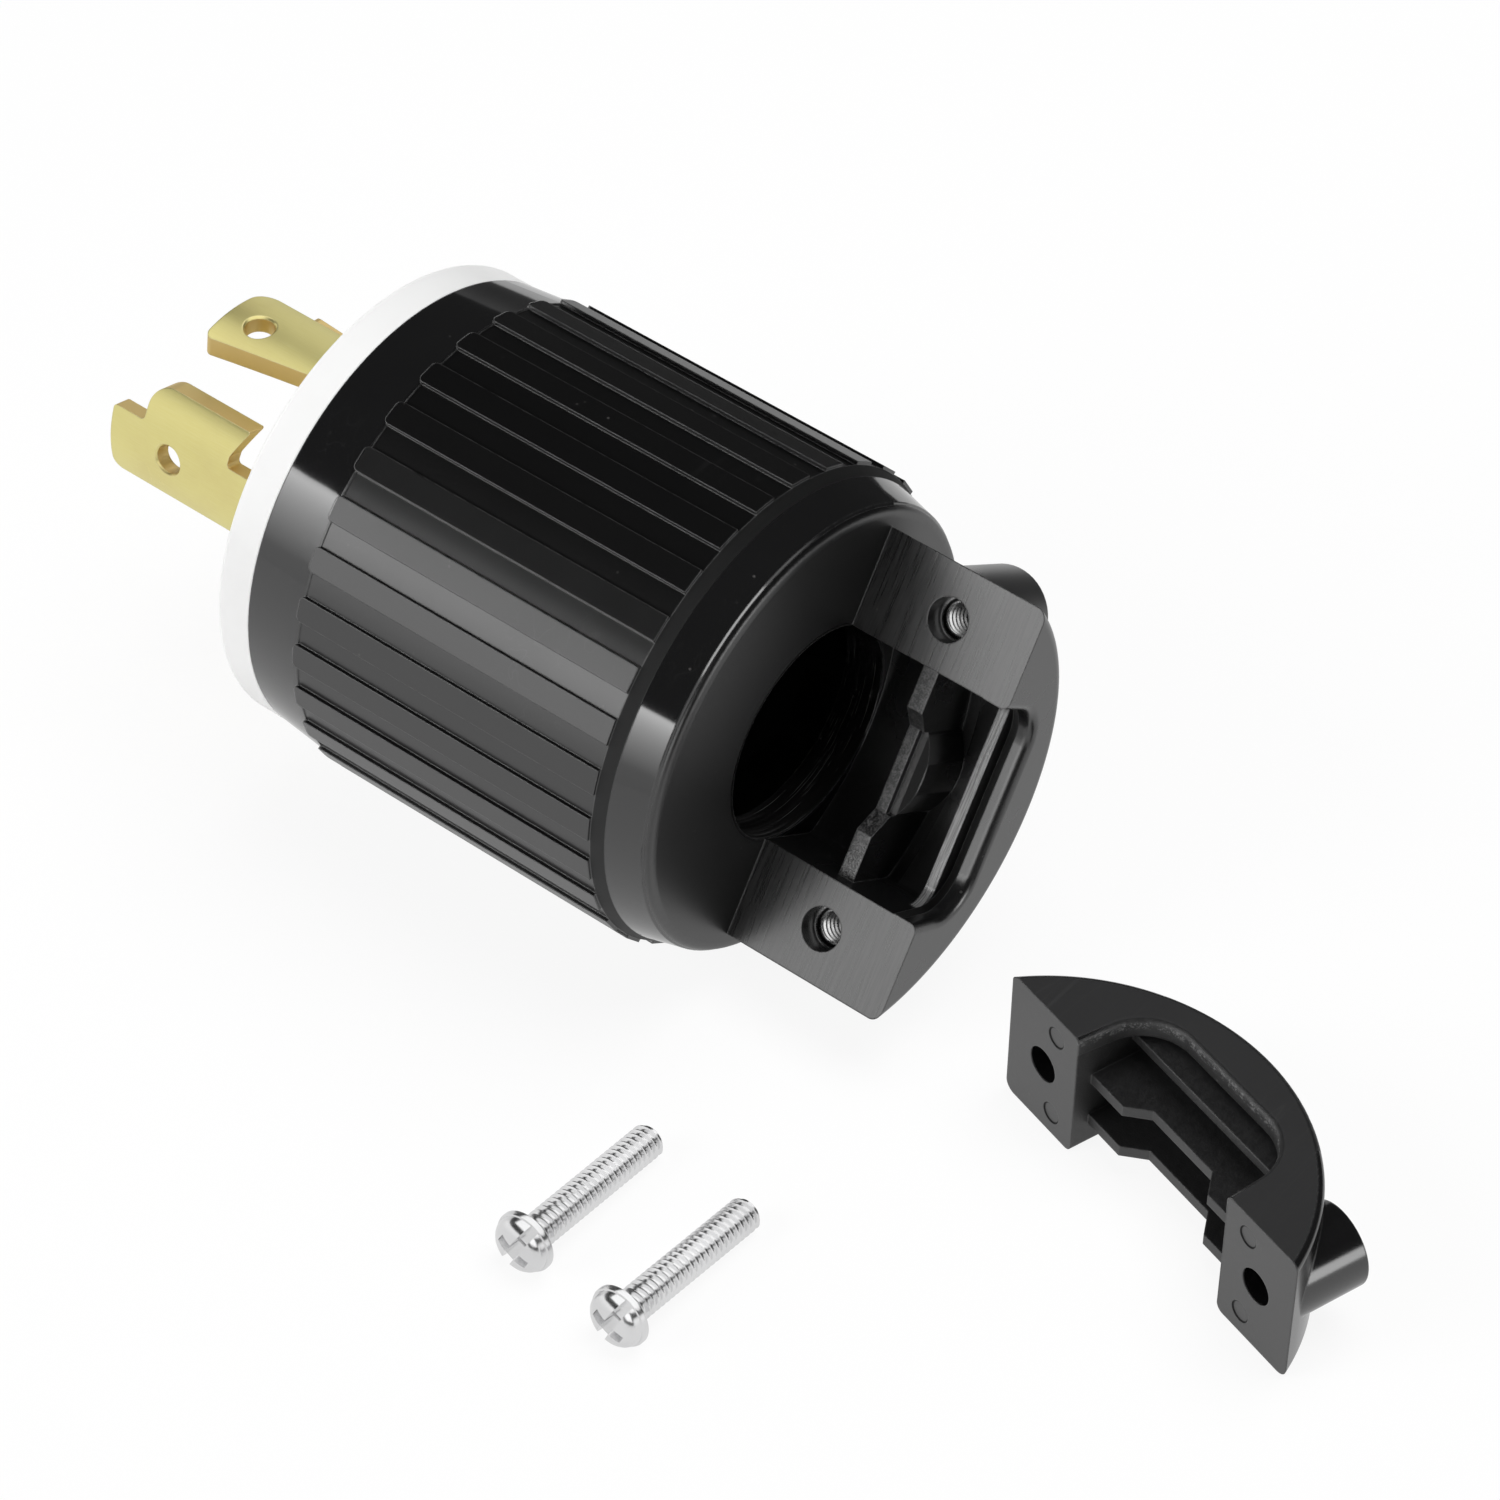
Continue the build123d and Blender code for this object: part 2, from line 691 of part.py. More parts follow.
# Assembly screws
def assembly_screw(label, angle):
    seat_x = front_face_x + counterbore_depth
    with BuildPart() as screw:
        with BuildSketch(cross_plane(seat_x)):
            with PolarLocations(assembly_circle_r, 1, start_angle=angle):
                Circle(assembly_screw_r)
        extrude(amount=assembly_screw_end_x - seat_x)
        with BuildSketch(cross_plane(seat_x)):
            with PolarLocations(assembly_circle_r, 1, start_angle=angle):
                Circle(assembly_head_r)
        extrude(amount=-assembly_head_height)
        with BuildSketch(cross_plane(seat_x - assembly_head_height)):
            with PolarLocations(assembly_circle_r, 1, start_angle=angle):
                Rectangle(cross_length, screw_slot_width)
                Rectangle(screw_slot_width, cross_length)
        extrude(amount=assembly_slot_depth, mode=Mode.SUBTRACT)
    screw.part.label = label
    return screw.part


assembly_screws = [
    assembly_screw("assembly_screw_%d" % (k + 1), angle) for k, angle in enumerate(assembly_angles)
]

# Loose clamp half: its own w runs along the heading, n points to its round back, z is up
clamp_base = Plane(
    origin=(shift_x + clamp_x, shift_y + clamp_y, 0),
    x_dir=(cos(radians(clamp_heading)), sin(radians(clamp_heading)), 0),
    z_dir=(0, 0, 1),
)
clamp_face = Plane(origin=clamp_base.origin, x_dir=clamp_base.x_dir, z_dir=clamp_base.y_dir)


def clamp_level(z):
    """Level section through the standing clamp half: sketch axes are its w and n."""
    return clamp_base.offset(z)


with BuildPart() as clamp:
    with BuildSketch(clamp_level(0)):
        arch(arch_r, arch_r, 0, 1)
    extrude(amount=clamp_length)
    fillet(clamp.faces().sort_by(Axis.Z)[-1].edges().filter_by(GeomType.CIRCLE), clamp_edge_r)
    fillet(clamp.faces().sort_by(Axis.Z)[0].edges().filter_by(GeomType.CIRCLE), clamp_foot_corner_r)
    with BuildSketch(clamp_face):
        with Locations((hole_w, -clamp_length / 2), (-hole_w, -clamp_length / 2)):
            Circle(clamp_boss_r)
    extrude(amount=clamp_boss_n)
    with BuildSketch(clamp_level(0)) as clamp_trough:
        arch(arch_r - arch_wall, ear_inner_w, -split_overrun, 1)
        fillet(clamp_trough.vertices().group_by(Axis.Y)[-1], trough_corner_r)
    extrude(amount=clamp_length - clamp_plate, mode=Mode.SUBTRACT)
    foot_edges = clamp.faces().sort_by(Axis.Z)[0].edges().filter_by(Axis((0, 0, 0), clamp_base.y_dir))
    fillet(foot_edges, clamp_mouth_corner_r)
    with BuildSketch(clamp_level(clamp_length - clamp_plate)):
        with BuildLine():
            window_lines(clamp_window_n, clamp_window_lean, clamp_window_corner_r, 1)
        make_face()
    extrude(amount=clamp_plate, mode=Mode.SUBTRACT)
    top_middle = clamp_base.origin + Vector(0, 0, clamp_length)
    top_edges = clamp.faces().sort_by(Axis.Z)[-1].edges()
    fillet(top_edges.filter_by(lambda e: (e.center() - top_middle).length < window_pick_r),
           clamp_window_edge_r)
    for height in clamp_rib_heights:
        with BuildSketch(clamp_level(height)):
            with BuildLine():
                wavy_lines(1)
            make_face()
            keep_inside_back(1)
        extrude(amount=clamp_rib_thickness)
    with BuildSketch(clamp_level(clamp_length - clamp_ledge_drop - clamp_ledge_thickness)):
        arch(arch_r - arch_wall / 2, ear_inner_w + rib_bite, clamp_ledge_n, 1)
    extrude(amount=clamp_ledge_thickness)
    with BuildSketch(clamp_face):
        with Locations((hole_w, -clamp_length / 2), (-hole_w, -clamp_length / 2)):
            Circle(clamp_hole_r)
    extrude(amount=sector_reach, mode=Mode.SUBTRACT)
    with BuildSketch(clamp_face):
        for side in (-1, 1):
            with Locations((side * mark_w, -mark_inset), (side * mark_w, mark_inset - clamp_length)):
                Circle(mark_r)
    extrude(amount=mark_depth, mode=Mode.SUBTRACT)
clamp.part.label = "cord_clamp"


# Clamp screws: each lies on the rim of its head and on its tip
def clamp_screw(label, place, turn):
    heading = radians(screw_headings[label])
    along = Vector(cos(heading), sin(heading), 0)
    down = Vector(0, 0, -1)
    tilt = radians(screw_tilt)
    shank_dir = along * cos(tilt) + down * sin(tilt)
    up_dir = along * sin(tilt) - down * cos(tilt)
    seat = Vector(shift_x + place[0], shift_y + place[1], 0) + Vector(0, 0, screw_head_r * cos(tilt))
    side = Plane(origin=seat, x_dir=shank_dir, z_dir=shank_dir.cross(up_dir))
    axis = Axis(seat, shank_dir)
    above_head = seat - shank_dir * (screw_head_height + slot_overrun)
    top = Plane(origin=above_head, x_dir=up_dir.rotate(Axis((0, 0, 0), shank_dir), turn), z_dir=shank_dir)
    with BuildPart() as screw:
        with BuildSketch(side):
            with BuildLine():
                Polyline(
                    (-screw_head_height, 0),
                    (screw_length, 0),
                    (screw_length, screw_r - screw_tip_chamfer),
                    (screw_length - screw_tip_chamfer, screw_r),
                    (0, screw_r),
                    (0, screw_head_r),
                    (-head_side_height, screw_head_r),
                )
                ThreePointArc(
                    (-head_side_height, screw_head_r),
                    (-head_dome_height, head_dome_r),
                    (-screw_head_height, 0),
                )
            make_face()
        revolve(axis=axis)
        with BuildSketch(top):
            Rectangle(screw_slot_width, 2 * screw_head_r + slot_overrun)
        extrude(amount=screw_slot_depth + slot_overrun, mode=Mode.SUBTRACT)
        with BuildSketch(top):
            Rectangle(cross_length, cross_width)
        extrude(amount=cross_depth + slot_overrun, mode=Mode.SUBTRACT)
    screw.part.label = label
    return screw.part


clamp_screws = [clamp_screw(label, place, screw_turns[label]) for label, place in screw_heads.items()]

os.makedirs("parts", exist_ok=True)
pieces = [housing.part, front_body.part, carrier.part, clamp.part]
pieces += inserts + blades + terminals + assembly_screws + clamp_screws
for piece in pieces:
    export_step(piece, "parts/" + piece.label + ".step")
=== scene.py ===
import math

import bmesh
import bpy
from mathutils import Matrix, Vector


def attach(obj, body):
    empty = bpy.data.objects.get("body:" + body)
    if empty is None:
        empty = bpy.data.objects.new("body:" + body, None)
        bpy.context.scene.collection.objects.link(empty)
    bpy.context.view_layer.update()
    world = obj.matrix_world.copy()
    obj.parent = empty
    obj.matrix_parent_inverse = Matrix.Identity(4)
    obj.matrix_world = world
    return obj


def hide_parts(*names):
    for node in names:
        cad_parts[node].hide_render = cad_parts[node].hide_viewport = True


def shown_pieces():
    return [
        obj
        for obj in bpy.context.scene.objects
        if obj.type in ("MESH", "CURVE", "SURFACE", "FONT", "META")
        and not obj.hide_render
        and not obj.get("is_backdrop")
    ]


# A locking power plug on its side, with the loose half of its cord clamp and two clamp screws.
# Lengths are in metres, in the CAD frame. In the plug's own frame, along runs from the front edge
# of the black shell to the rear, across runs over the clamp's mouth and rise stands on its split.
MM = 0.001
AXIS_POINT = Vector((-0.0513326, 0.01605, 0.02875))
ROLL = math.radians(56.65)
ALONG = Vector((1, 0, 0))
ACROSS = Vector((0, math.cos(ROLL), math.sin(ROLL)))
RISE = Vector((0, -math.sin(ROLL), math.cos(ROLL)))

# Thread of the clamp screws and the ear inserts
PITCH = 0.8 * MM
SCREW_THREAD = {"root": 1.58 * MM, "crest": 1.99 * MM}
INSERT_THREAD = {"root": 1.72 * MM, "crest": 2.12 * MM}
THREAD_PROFILE = ((0.0, 0.0), (0.22, 0.0), (0.54, 1.0), (0.68, 1.0))
SEGMENTS = 32
MERGE_REACH = 1e-7

# Clamp screws; the places of their heads are in millimetres from the plug's axis point
SCREW_LENGTH = 20 * MM
TIP_CHAMFER = 0.4 * MM
HEAD_R = 3.55 * MM
HEAD_HEIGHT = 2.72 * MM
HEAD_SIDE = 0.85 * MM
SCREW_R = 2.0 * MM
HEAD_TILT = math.atan((HEAD_R - SCREW_R) / (SCREW_LENGTH - TIP_CHAMFER))
HEAD_RIM_R = 0.25 * MM
SEAT_R = SCREW_THREAD["root"] * 0.9
HEAD_CHAMFER = 0.12 * MM
HEAD_SOFT_CORNER = 0.07 * MM
DOME_STEPS = 8
DOME_POWER = 1.15
CUTTER_RISE = 0.3 * MM
SLOT_SIZE = (1.25 * MM, 9.0 * MM)
SLOT_DEPTH = 2.2 * MM
SLOT_TAPER = 0.85
CROSS_SIZE = (4.9 * MM, 1.5 * MM)
CROSS_DEPTH = 2.4 * MM
CROSS_TAPER = 0.3
CLAMP_SCREWS = {
    "clamp_screw_1": {"place": (64.4, -56.7), "heading": 90.3, "turn": 116},
    "clamp_screw_2": {"place": (78.4, -58.1), "heading": 89.4, "turn": 114},
}

# Inserts in the ears
INSERT_TOP = -3.0 * MM
INSERT_LENGTH = 6.5 * MM
INSERT_R = 3.1 * MM
INSERT_FLANGE_R = 3.5 * MM
INSERT_FLANGE = 1.0 * MM
INSERT_CHAMFER = 0.1 * MM
THREAD_GAP = 0.02 * MM
GROOVE_REACH = (1.92, 2.3, 0.08)
HOLE_ALONG = 65.65 * MM
HOLE_ACROSS = 18.34 * MM

# Radius of the blades' arc in millimetres, for the lines of rolling
BLADE_ARC_R = 13.0

# Zones of the black shell in its own frame, in millimetres: three values are a band's start, end
# and softness, two are where a mask begins and where it is full
RIBS_ALONG = (7.6, 48.95, 0.05)
RIBS_RADIUS = (27.4, 27.6)
JAW_ALONG = (55.35, 55.5)
SPLIT_RISE = (-0.04, 0.3, 0.02)
MOUTH_ACROSS = (-12.7, 12.7, 0.05)
CORD_RIB_ALONG = (63.9, 65.9, 0.05)
CORD_RIB_TOP = (-4.5, -2.0, 0.1)
LEDGE_ALONG = (71.65, 72.85, 0.03)
GROOVE_ALONG = (72.95, 74.05, 0.1)
TROUGH_ALONG = (55.4, 71.5, 0.05)
CHAMFER_ALONG = (48.95, 50.35, 0.08)
CHAMFER_RADIUS = (26.8, 27.2)
REAR_WALL_ALONG = (54.7, 55.45, 0.03)
REAR_WALL_RADIUS = (13.0, 13.2)
PAD_ALONG = (66.2, 67.4, 0.05)
BORE_ALONG = (50.4, 55.35, 0.05)
BORE_RADIUS = (12.9, 12.7)

# Loose clamp half
CLAMP_PLACE = Vector((AXIS_POINT.x + 110.71 * MM, AXIS_POINT.y - 12.25 * MM, 0))
CLAMP_HEADING = math.radians(-16.8)
CLAMP_LENGTH = 17.4 * MM

# Zones of the loose clamp half in the same way, with the ejector marks on its split faces
CLAMP_TOP = CLAMP_LENGTH / MM
CLAMP_MOUTH_ACROSS = (-12.9, 12.9, 0.1)
CLAMP_SPLIT_DEPTH = (-0.3, 0.2, 0.02)
MARK_ACROSS = 16.4
MARK_INSET = 2.9
MARK_R = 1.3

# Studio; what is mirrored is seen in reflections only
FLOOR_REACH = 0.24
FLOOR_GLOW_TO_CAMERA = 0.9
FLOOR_GLOW_MIRRORED = 0.85
FLOOR_LEVEL_MIRRORED = 0.82
CEILING_LEVEL = 0.035
HORIZON_LEVEL = 1.1
HORIZON_MIRRORED = 0.75
HORIZON_STRIP = 0.3
HORIZON_TOP = 0.26
HORIZON_TOP_FRONT = 0.20
HORIZON_DARK_DROP = 0.35
HORIZON_RIGHT_RISE = 0.2
FRONT_LEFT = Vector((-0.45, -0.89, 0))
FRONT_RIGHT = Vector((0.68, -0.73, 0))
RIGHT = Vector((0.99, 0.14, 0))
LAMP_AIM = Vector((0, 0, 0.03))
PANEL_FOOT = Vector((-0.9, -1.78, 0))
PANEL_SIZE = (2.4, 1.06)
PANEL_POWER = 23.0
PANEL_SHARE = 0.9
SMOOTH_ANGLE = math.radians(35)

# Camera, fitted to the photograph
CAMERA_PLACE = AXIS_POINT + Vector((0.327515, -0.354116, 0.432823))
CAMERA_AIM = Vector((-0.443967, 0.561486, -0.698302))
CAMERA_ROLL = math.radians(1.147)
LENS = 140.2
SENSOR = 36.0


# Small helpers for node trees
def add(tree, kind, inputs=None, **settings):
    """Place a node, with its settings and with values or links for its inputs."""
    made = tree.nodes.new(kind)
    for name, value in settings.items():
        setattr(made, name, value)
    for name, value in (inputs or {}).items():
        if isinstance(value, bpy.types.NodeSocket):
            tree.links.new(value, made.inputs[name])
        else:
            made.inputs[name].default_value = value
    return made


def maths(tree, operation, a, b=0.0, clamp=False):
    """Result of one step of arithmetic on values or links."""
    return add(tree, "ShaderNodeMath", {0: a, 1: b}, operation=operation, use_clamp=clamp).outputs[0]


def between(tree, value, low, high):
    """Smooth mask that rises from 0 at low to 1 at high."""
    return add(
        tree,
        "ShaderNodeMapRange",
        {"Value": value, "From Min": low, "From Max": high, "To Min": 0.0, "To Max": 1.0},
        interpolation_type="SMOOTHSTEP",
    ).outputs[0]


def band(tree, value, low, high, soft):
    """Mask of a band from low to high with soft edges."""
    rise = between(tree, value, low - soft, low + soft)
    fall = between(tree, value, high + soft, high - soft)
    return maths(tree, "MULTIPLY", rise, fall)


def both(tree, a, b):
    """Where both masks are on; a number for b fades the first mask to that share."""
    return maths(tree, "MULTIPLY", a, b)


def either(tree, a, b):
    """Where at least one of the masks is on."""
    return maths(tree, "MAXIMUM", a, b)


def blend_values(tree, mask, a, b):
    """Value a where the mask is 0 and b where it is 1."""
    return add(tree, "ShaderNodeMix", {0: mask, 2: a, 3: b}, data_type="FLOAT").outputs[0]


def blend_colours(tree, mask, a, b):
    """Colour a where the mask is 0 and b where it is 1."""
    return add(tree, "ShaderNodeMix", {0: mask, 6: a, 7: b}, data_type="RGBA").outputs[2]


def vector_maths(tree, operation, a, b=(0.0, 0.0, 0.0)):
    """Vector result of one step of vector arithmetic."""
    return add(tree, "ShaderNodeVectorMath", {0: a, 1: b}, operation=operation).outputs[0]


def length_of(tree, x, y):
    """Length of a flat vector."""
    pair = add(tree, "ShaderNodeCombineXYZ", {0: x, 1: y}).outputs[0]
    return add(tree, "ShaderNodeVectorMath", {0: pair}, operation="LENGTH").outputs["Value"]


def dot_with(tree, vector, direction):
    """How far a vector reaches along a direction."""
    made = add(tree, "ShaderNodeVectorMath", {0: vector, 1: direction}, operation="DOT_PRODUCT")
    return made.outputs["Value"]


def object_place(tree):
    """Place of a point on a piece, in the CAD frame."""
    return add(tree, "ShaderNodeTexCoord").outputs["Object"]


def noise(tree, place, scale, detail=2.0, roughness=0.5):
    """Noise value at a place."""
    made = add(
        tree,
        "ShaderNodeTexNoise",
        {"Vector": place, "Scale": scale, "Detail": detail, "Roughness": roughness},
    )
    return made.outputs[0]


def new_group(name, inputs, outputs):
    """Start a shader group with float inputs and the named outputs."""
    tree = bpy.data.node_groups.new(name, "ShaderNodeTree")
    for label, value in inputs.items():
        socket = tree.interface.new_socket(label, in_out="INPUT", socket_type="NodeSocketFloat")
        socket.default_value = value
    for label, kind in outputs.items():
        tree.interface.new_socket(label, in_out="OUTPUT", socket_type=kind)
    return tree, tree.nodes.new("NodeGroupInput"), tree.nodes.new("NodeGroupOutput")


# Effects that several materials share
def make_plug_place():
    """Where a point lies in the plug's own frame, in millimetres."""
    tree, _, ends = new_group(
        "plug_place",
        {},
        {name: "NodeSocketFloat" for name in ("Along", "Across", "Rise", "Radius", "Round")},
    )
    offset = vector_maths(tree, "SUBTRACT", object_place(tree), AXIS_POINT)
    along = dot_with(tree, offset, ALONG / MM)
    across = dot_with(tree, offset, ACROSS / MM)
    rise = dot_with(tree, offset, RISE / MM)
    squares = maths(tree, "ADD", maths(tree, "POWER", across, 2.0), maths(tree, "POWER", rise, 2.0))
    radius = maths(tree, "SQRT", squares)
    around = maths(tree, "ARCTAN2", rise, across)
    for name, value in (
        ("Along", along),
        ("Across", across),
        ("Rise", rise),
        ("Radius", radius),
        ("Round", around),
    ):
        tree.links.new(value, ends.inputs[name])
    return tree


def make_edge_catch():
    """Rounded edge normals, and a mask of the edges, which the materials paint lighter: partly wear,
    partly painted highlight.
    """
    tree, starts, ends = new_group(
        "edge_catch",
        {"Width": 0.0003, "Gain": 4.0},
        {"Edge": "NodeSocketFloat", "Normal": "NodeSocketVector"},
    )
    bevel = add(tree, "ShaderNodeBevel", {"Radius": starts.outputs["Width"]}, samples=6)
    facing = dot_with(tree, bevel.outputs[0], add(tree, "ShaderNodeNewGeometry").outputs["Normal"])
    turned = maths(tree, "SUBTRACT", 1.0, facing)
    edge = maths(tree, "MULTIPLY", turned, starts.outputs["Gain"], clamp=True)
    uneven = noise(tree, object_place(tree), 900.0, 3.0)
    tree.links.new(maths(tree, "MULTIPLY", edge, between(tree, uneven, 0.2, 0.6)), ends.inputs["Edge"])
    tree.links.new(bevel.outputs[0], ends.inputs["Normal"])
    return tree


def make_mould_grain():
    """Fine spark-eroded mould texture with a slow change of tone."""
    tree, starts, ends = new_group(
        "mould_grain",
        {"Grain Size": 0.25},
        {"Height": "NodeSocketFloat", "Tone": "NodeSocketFloat"},
    )
    place = object_place(tree)
    scale = maths(tree, "DIVIDE", 1000.0, starts.outputs["Grain Size"])
    fine = noise(tree, place, scale, 3.0, 0.6)
    coarse = noise(tree, place, maths(tree, "MULTIPLY", scale, 0.3), 2.0)
    height = blend_values(tree, 0.35, fine, coarse)
    tree.links.new(height, ends.inputs["Height"])
    tree.links.new(noise(tree, place, 60.0, 4.0, 0.6), ends.inputs["Tone"])
    return tree


def make_handling_marks():
    """Hairline scratches and soft smudges from handling."""
    tree, starts, ends = new_group(
        "handling_marks",
        {"Amount": 0.5},
        {"Scratches": "NodeSocketFloat", "Smudges": "NodeSocketFloat"},
    )
    place = object_place(tree)
    lines = []
    for turn, scale in (((0.4, 0.2, 0.9), 260.0), ((1.3, 0.8, -0.5), 310.0)):
        stretched = add(
            tree,
            "ShaderNodeMapping",
            {"Vector": place, "Rotation": turn, "Scale": (1.0, 0.05, 1.0)},
        ).outputs[0]
        ridge = maths(tree, "ABSOLUTE", maths(tree, "SUBTRACT", noise(tree, stretched, scale, 1.0), 0.5))
        lines.append(between(tree, ridge, 0.006, 0.0))
    lines = maths(tree, "MAXIMUM", *lines)
    patches = between(tree, noise(tree, place, 45.0, 2.0), 0.5, 0.7)
    scratches = maths(tree, "MULTIPLY", lines, patches)
    scratches = maths(tree, "MULTIPLY", scratches, starts.outputs["Amount"])
    smudges = maths(tree, "MULTIPLY", between(tree, noise(tree, place, 90.0, 5.0, 0.6), 0.45, 0.75),
                    starts.outputs["Amount"])
    tree.links.new(scratches, ends.inputs["Scratches"])
    tree.links.new(smudges, ends.inputs["Smudges"])
    return tree


def make_dust_specks():
    """Sparse specks of pale dust."""
    tree, starts, ends = new_group(
        "dust_specks", {"Amount": 0.5}, {"Specks": "NodeSocketFloat"}
    )
    cells = add(
        tree, "ShaderNodeTexVoronoi", {"Vector": object_place(tree), "Scale": 700.0, "Randomness": 1.0}
    )
    near = between(tree, cells.outputs["Distance"], 0.16, 0.05)
    chosen = between(tree, noise(tree, object_place(tree), 350.0, 1.0), 0.62, 0.7)
    specks = maths(tree, "MULTIPLY", near, chosen)
    tree.links.new(maths(tree, "MULTIPLY", specks, starts.outputs["Amount"]), ends.inputs["Specks"])
    return tree


def make_tool_lines():
    """Fine parallel lines left by a cutter or a die, over a running coordinate in millimetres."""
    tree, starts, ends = new_group(
        "tool_lines",
        {"Run": 0.0, "Drift": 0.0, "Line Width": 0.3},
        {"Lines": "NodeSocketFloat"},
    )
    where = add(
        tree,
        "ShaderNodeCombineXYZ",
        {0: starts.outputs["Run"], 1: maths(tree, "MULTIPLY", starts.outputs["Drift"], 0.03)},
    ).outputs[0]
    scale = maths(tree, "DIVIDE", 1.0, starts.outputs["Line Width"])
    tree.links.new(noise(tree, where, scale, 3.0, 0.7), ends.inputs["Lines"])
    return tree


# Materials
def new_material(name, **shader_values):
    """Start a material and set the constants on its shader's own sockets."""
    material = bpy.data.materials.new(name)
    material.use_nodes = True
    tree = material.node_tree
    shader = tree.nodes["Principled BSDF"]
    for label, value in shader_values.items():
        shader.inputs[label.replace("_", " ")].default_value = value
    return material, tree, shader


def use(tree, group, **inputs):
    """Place a shared effect in a material with its own values."""
    made = tree.nodes.new("ShaderNodeGroup")
    made.node_tree = group
    for label, value in inputs.items():
        label = label.replace("_", " ")
        if isinstance(value, bpy.types.NodeSocket):
            tree.links.new(value, made.inputs[label])
        else:
            made.inputs[label].default_value = value
    return made.outputs


def bump(tree, height, strength, distance, normal):
    """Fine relief on top of a normal."""
    inputs = {"Height": height, "Strength": strength, "Distance": distance, "Normal": normal}
    return add(tree, "ShaderNodeBump", inputs).outputs[0]


def finish_shader(tree, shader, colour, roughness, normal):
    """Link what changes over the surface to the shader."""
    tree.links.new(colour, shader.inputs["Base Color"])
    tree.links.new(roughness, shader.inputs["Roughness"])
    tree.links.new(normal, shader.inputs["Normal"])


def black_shell_material(effects):
    """Moulded black nylon: glossy rings and walls, satin ribs, machined-looking split flats."""
    material, tree, shader = new_material("moulded_black_shell", Specular_IOR_Level=1.0)
    place = use(tree, effects["plug_place"])
    along, across, rise, radius = (place[n] for n in ("Along", "Across", "Rise", "Radius"))
    edges = use(tree, effects["edge_catch"], Width=0.00022, Gain=5.0)
    grain = use(tree, effects["mould_grain"], Grain_Size=0.22)
    marks = use(tree, effects["handling_marks"], Amount=0.5)
    dust = use(tree, effects["dust_specks"], Amount=0.12)["Specks"]
    cutter = use(tree, effects["tool_lines"], Run=along, Drift=across, Line_Width=0.3)["Lines"]
    drawn = use(tree, effects["tool_lines"], Run=along, Drift=across, Line_Width=0.2)["Lines"]

    jaw = between(tree, along, *JAW_ALONG)
    flat = both(tree, jaw, band(tree, rise, *SPLIT_RISE))
    mouth = both(tree, jaw, band(tree, across, *MOUTH_ACROSS))
    cord_rib = both(tree, mouth, band(tree, along, *CORD_RIB_ALONG))
    rib_top = both(tree, cord_rib, band(tree, rise, *CORD_RIB_TOP))
    ledge_top = both(tree, mouth, band(tree, along, *LEDGE_ALONG))
    groove = both(tree, mouth, band(tree, along, *GROOVE_ALONG))
    trough = both(tree, mouth, band(tree, along, *TROUGH_ALONG))
    pad_face = both(tree, mouth, band(tree, along, *PAD_ALONG))
    ribs = both(tree, band(tree, along, *RIBS_ALONG), between(tree, radius, *RIBS_RADIUS))
    chamfer = both(tree, band(tree, along, *CHAMFER_ALONG), between(tree, radius, *CHAMFER_RADIUS))
    rear_wall = both(tree, band(tree, along, *REAR_WALL_ALONG), between(tree, radius, *REAR_WALL_RADIUS))
    bore = both(tree, band(tree, along, *BORE_ALONG), between(tree, radius, *BORE_RADIUS))
    # Rear wall, wire pad face and chamfer, which are painted darker as painted shade.
    painted_shade_zones = either(tree, either(tree, rear_wall, pad_face), chamfer)

    ring_rough = blend_values(tree, grain["Tone"], 0.05, 0.09)
    rough = blend_values(tree, ribs, ring_rough, blend_values(tree, grain["Tone"], 0.28, 0.36))
    rough = blend_values(tree, jaw, rough, blend_values(tree, grain["Tone"], 0.22, 0.34))
    rough = blend_values(tree, flat, rough, blend_values(tree, cutter, 0.24, 0.32))
    rough = blend_values(tree, both(tree, marks["Smudges"], 0.08), rough, 0.4)
    rough = blend_values(tree, rear_wall, rough, 0.38)
    matt = either(tree, either(tree, chamfer, pad_face), groove)
    rough = blend_values(tree, matt, rough, 0.85)
    rough = blend_values(tree, dust, rough, 0.9)

    black = blend_colours(tree, grain["Tone"], (0.004, 0.004, 0.0042, 1), (0.007, 0.007, 0.0072, 1))
    # Ribs get a darker black, and the rear wall, pad face and chamfer get painted shade.
    black = blend_colours(tree, either(tree, ribs, painted_shade_zones), black, (0.0014, 0.0014, 0.0015, 1))
    black = blend_colours(tree, flat, black, blend_colours(
        tree, between(tree, cutter, 0.38, 0.62), (0.004, 0.004, 0.0041, 1), (0.020, 0.020, 0.020, 1)))
    # Tool streaks in the bore painted pale: real streaks, lightened as painted light where little light
    # reaches.
    black = blend_colours(tree, bore, black, blend_colours(
        tree, between(tree, cutter, 0.5, 0.7), (0.006, 0.006, 0.006, 1), (0.06, 0.06, 0.06, 1)))
    # Pale specks on the grain of the cord rib's top: painted glints.
    speckle = both(tree, rib_top, between(tree, grain["Height"], 0.42, 0.62))
    black = blend_colours(tree, speckle, black, (0.075, 0.075, 0.075, 1))
    # Drawn lines on the ledge's top painted pale: real tool lines, lightened as a painted highlight.
    black = blend_colours(tree, both(tree, ledge_top, between(tree, drawn, 0.35, 0.6)),
                          black, (0.16, 0.16, 0.16, 1))
    # The groove painted near black: painted shade.
    black = blend_colours(tree, both(tree, groove, 0.9), black, (0.001, 0.001, 0.001, 1))
    # Edges painted a lighter grey: partly wear, partly painted highlight.
    black = blend_colours(tree, both(tree, edges["Edge"], 0.6), black, (0.09, 0.09, 0.09, 1))
    black = blend_colours(tree, both(tree, marks["Scratches"], 0.3), black, (0.08, 0.08, 0.08, 1))
    black = blend_colours(tree, dust, black, (0.35, 0.34, 0.33, 1))

    textured = either(tree, both(tree, trough, 0.8), both(tree, ribs, 0.12))
    height = both(tree, grain["Height"], textured)
    height = maths(tree, "ADD", height, both(tree, both(tree, cutter, flat), 0.25))
    normal = bump(tree, height, 0.6, 0.00006, edges["Normal"])
    finish_shader(tree, shader, black, rough, normal)
    return material


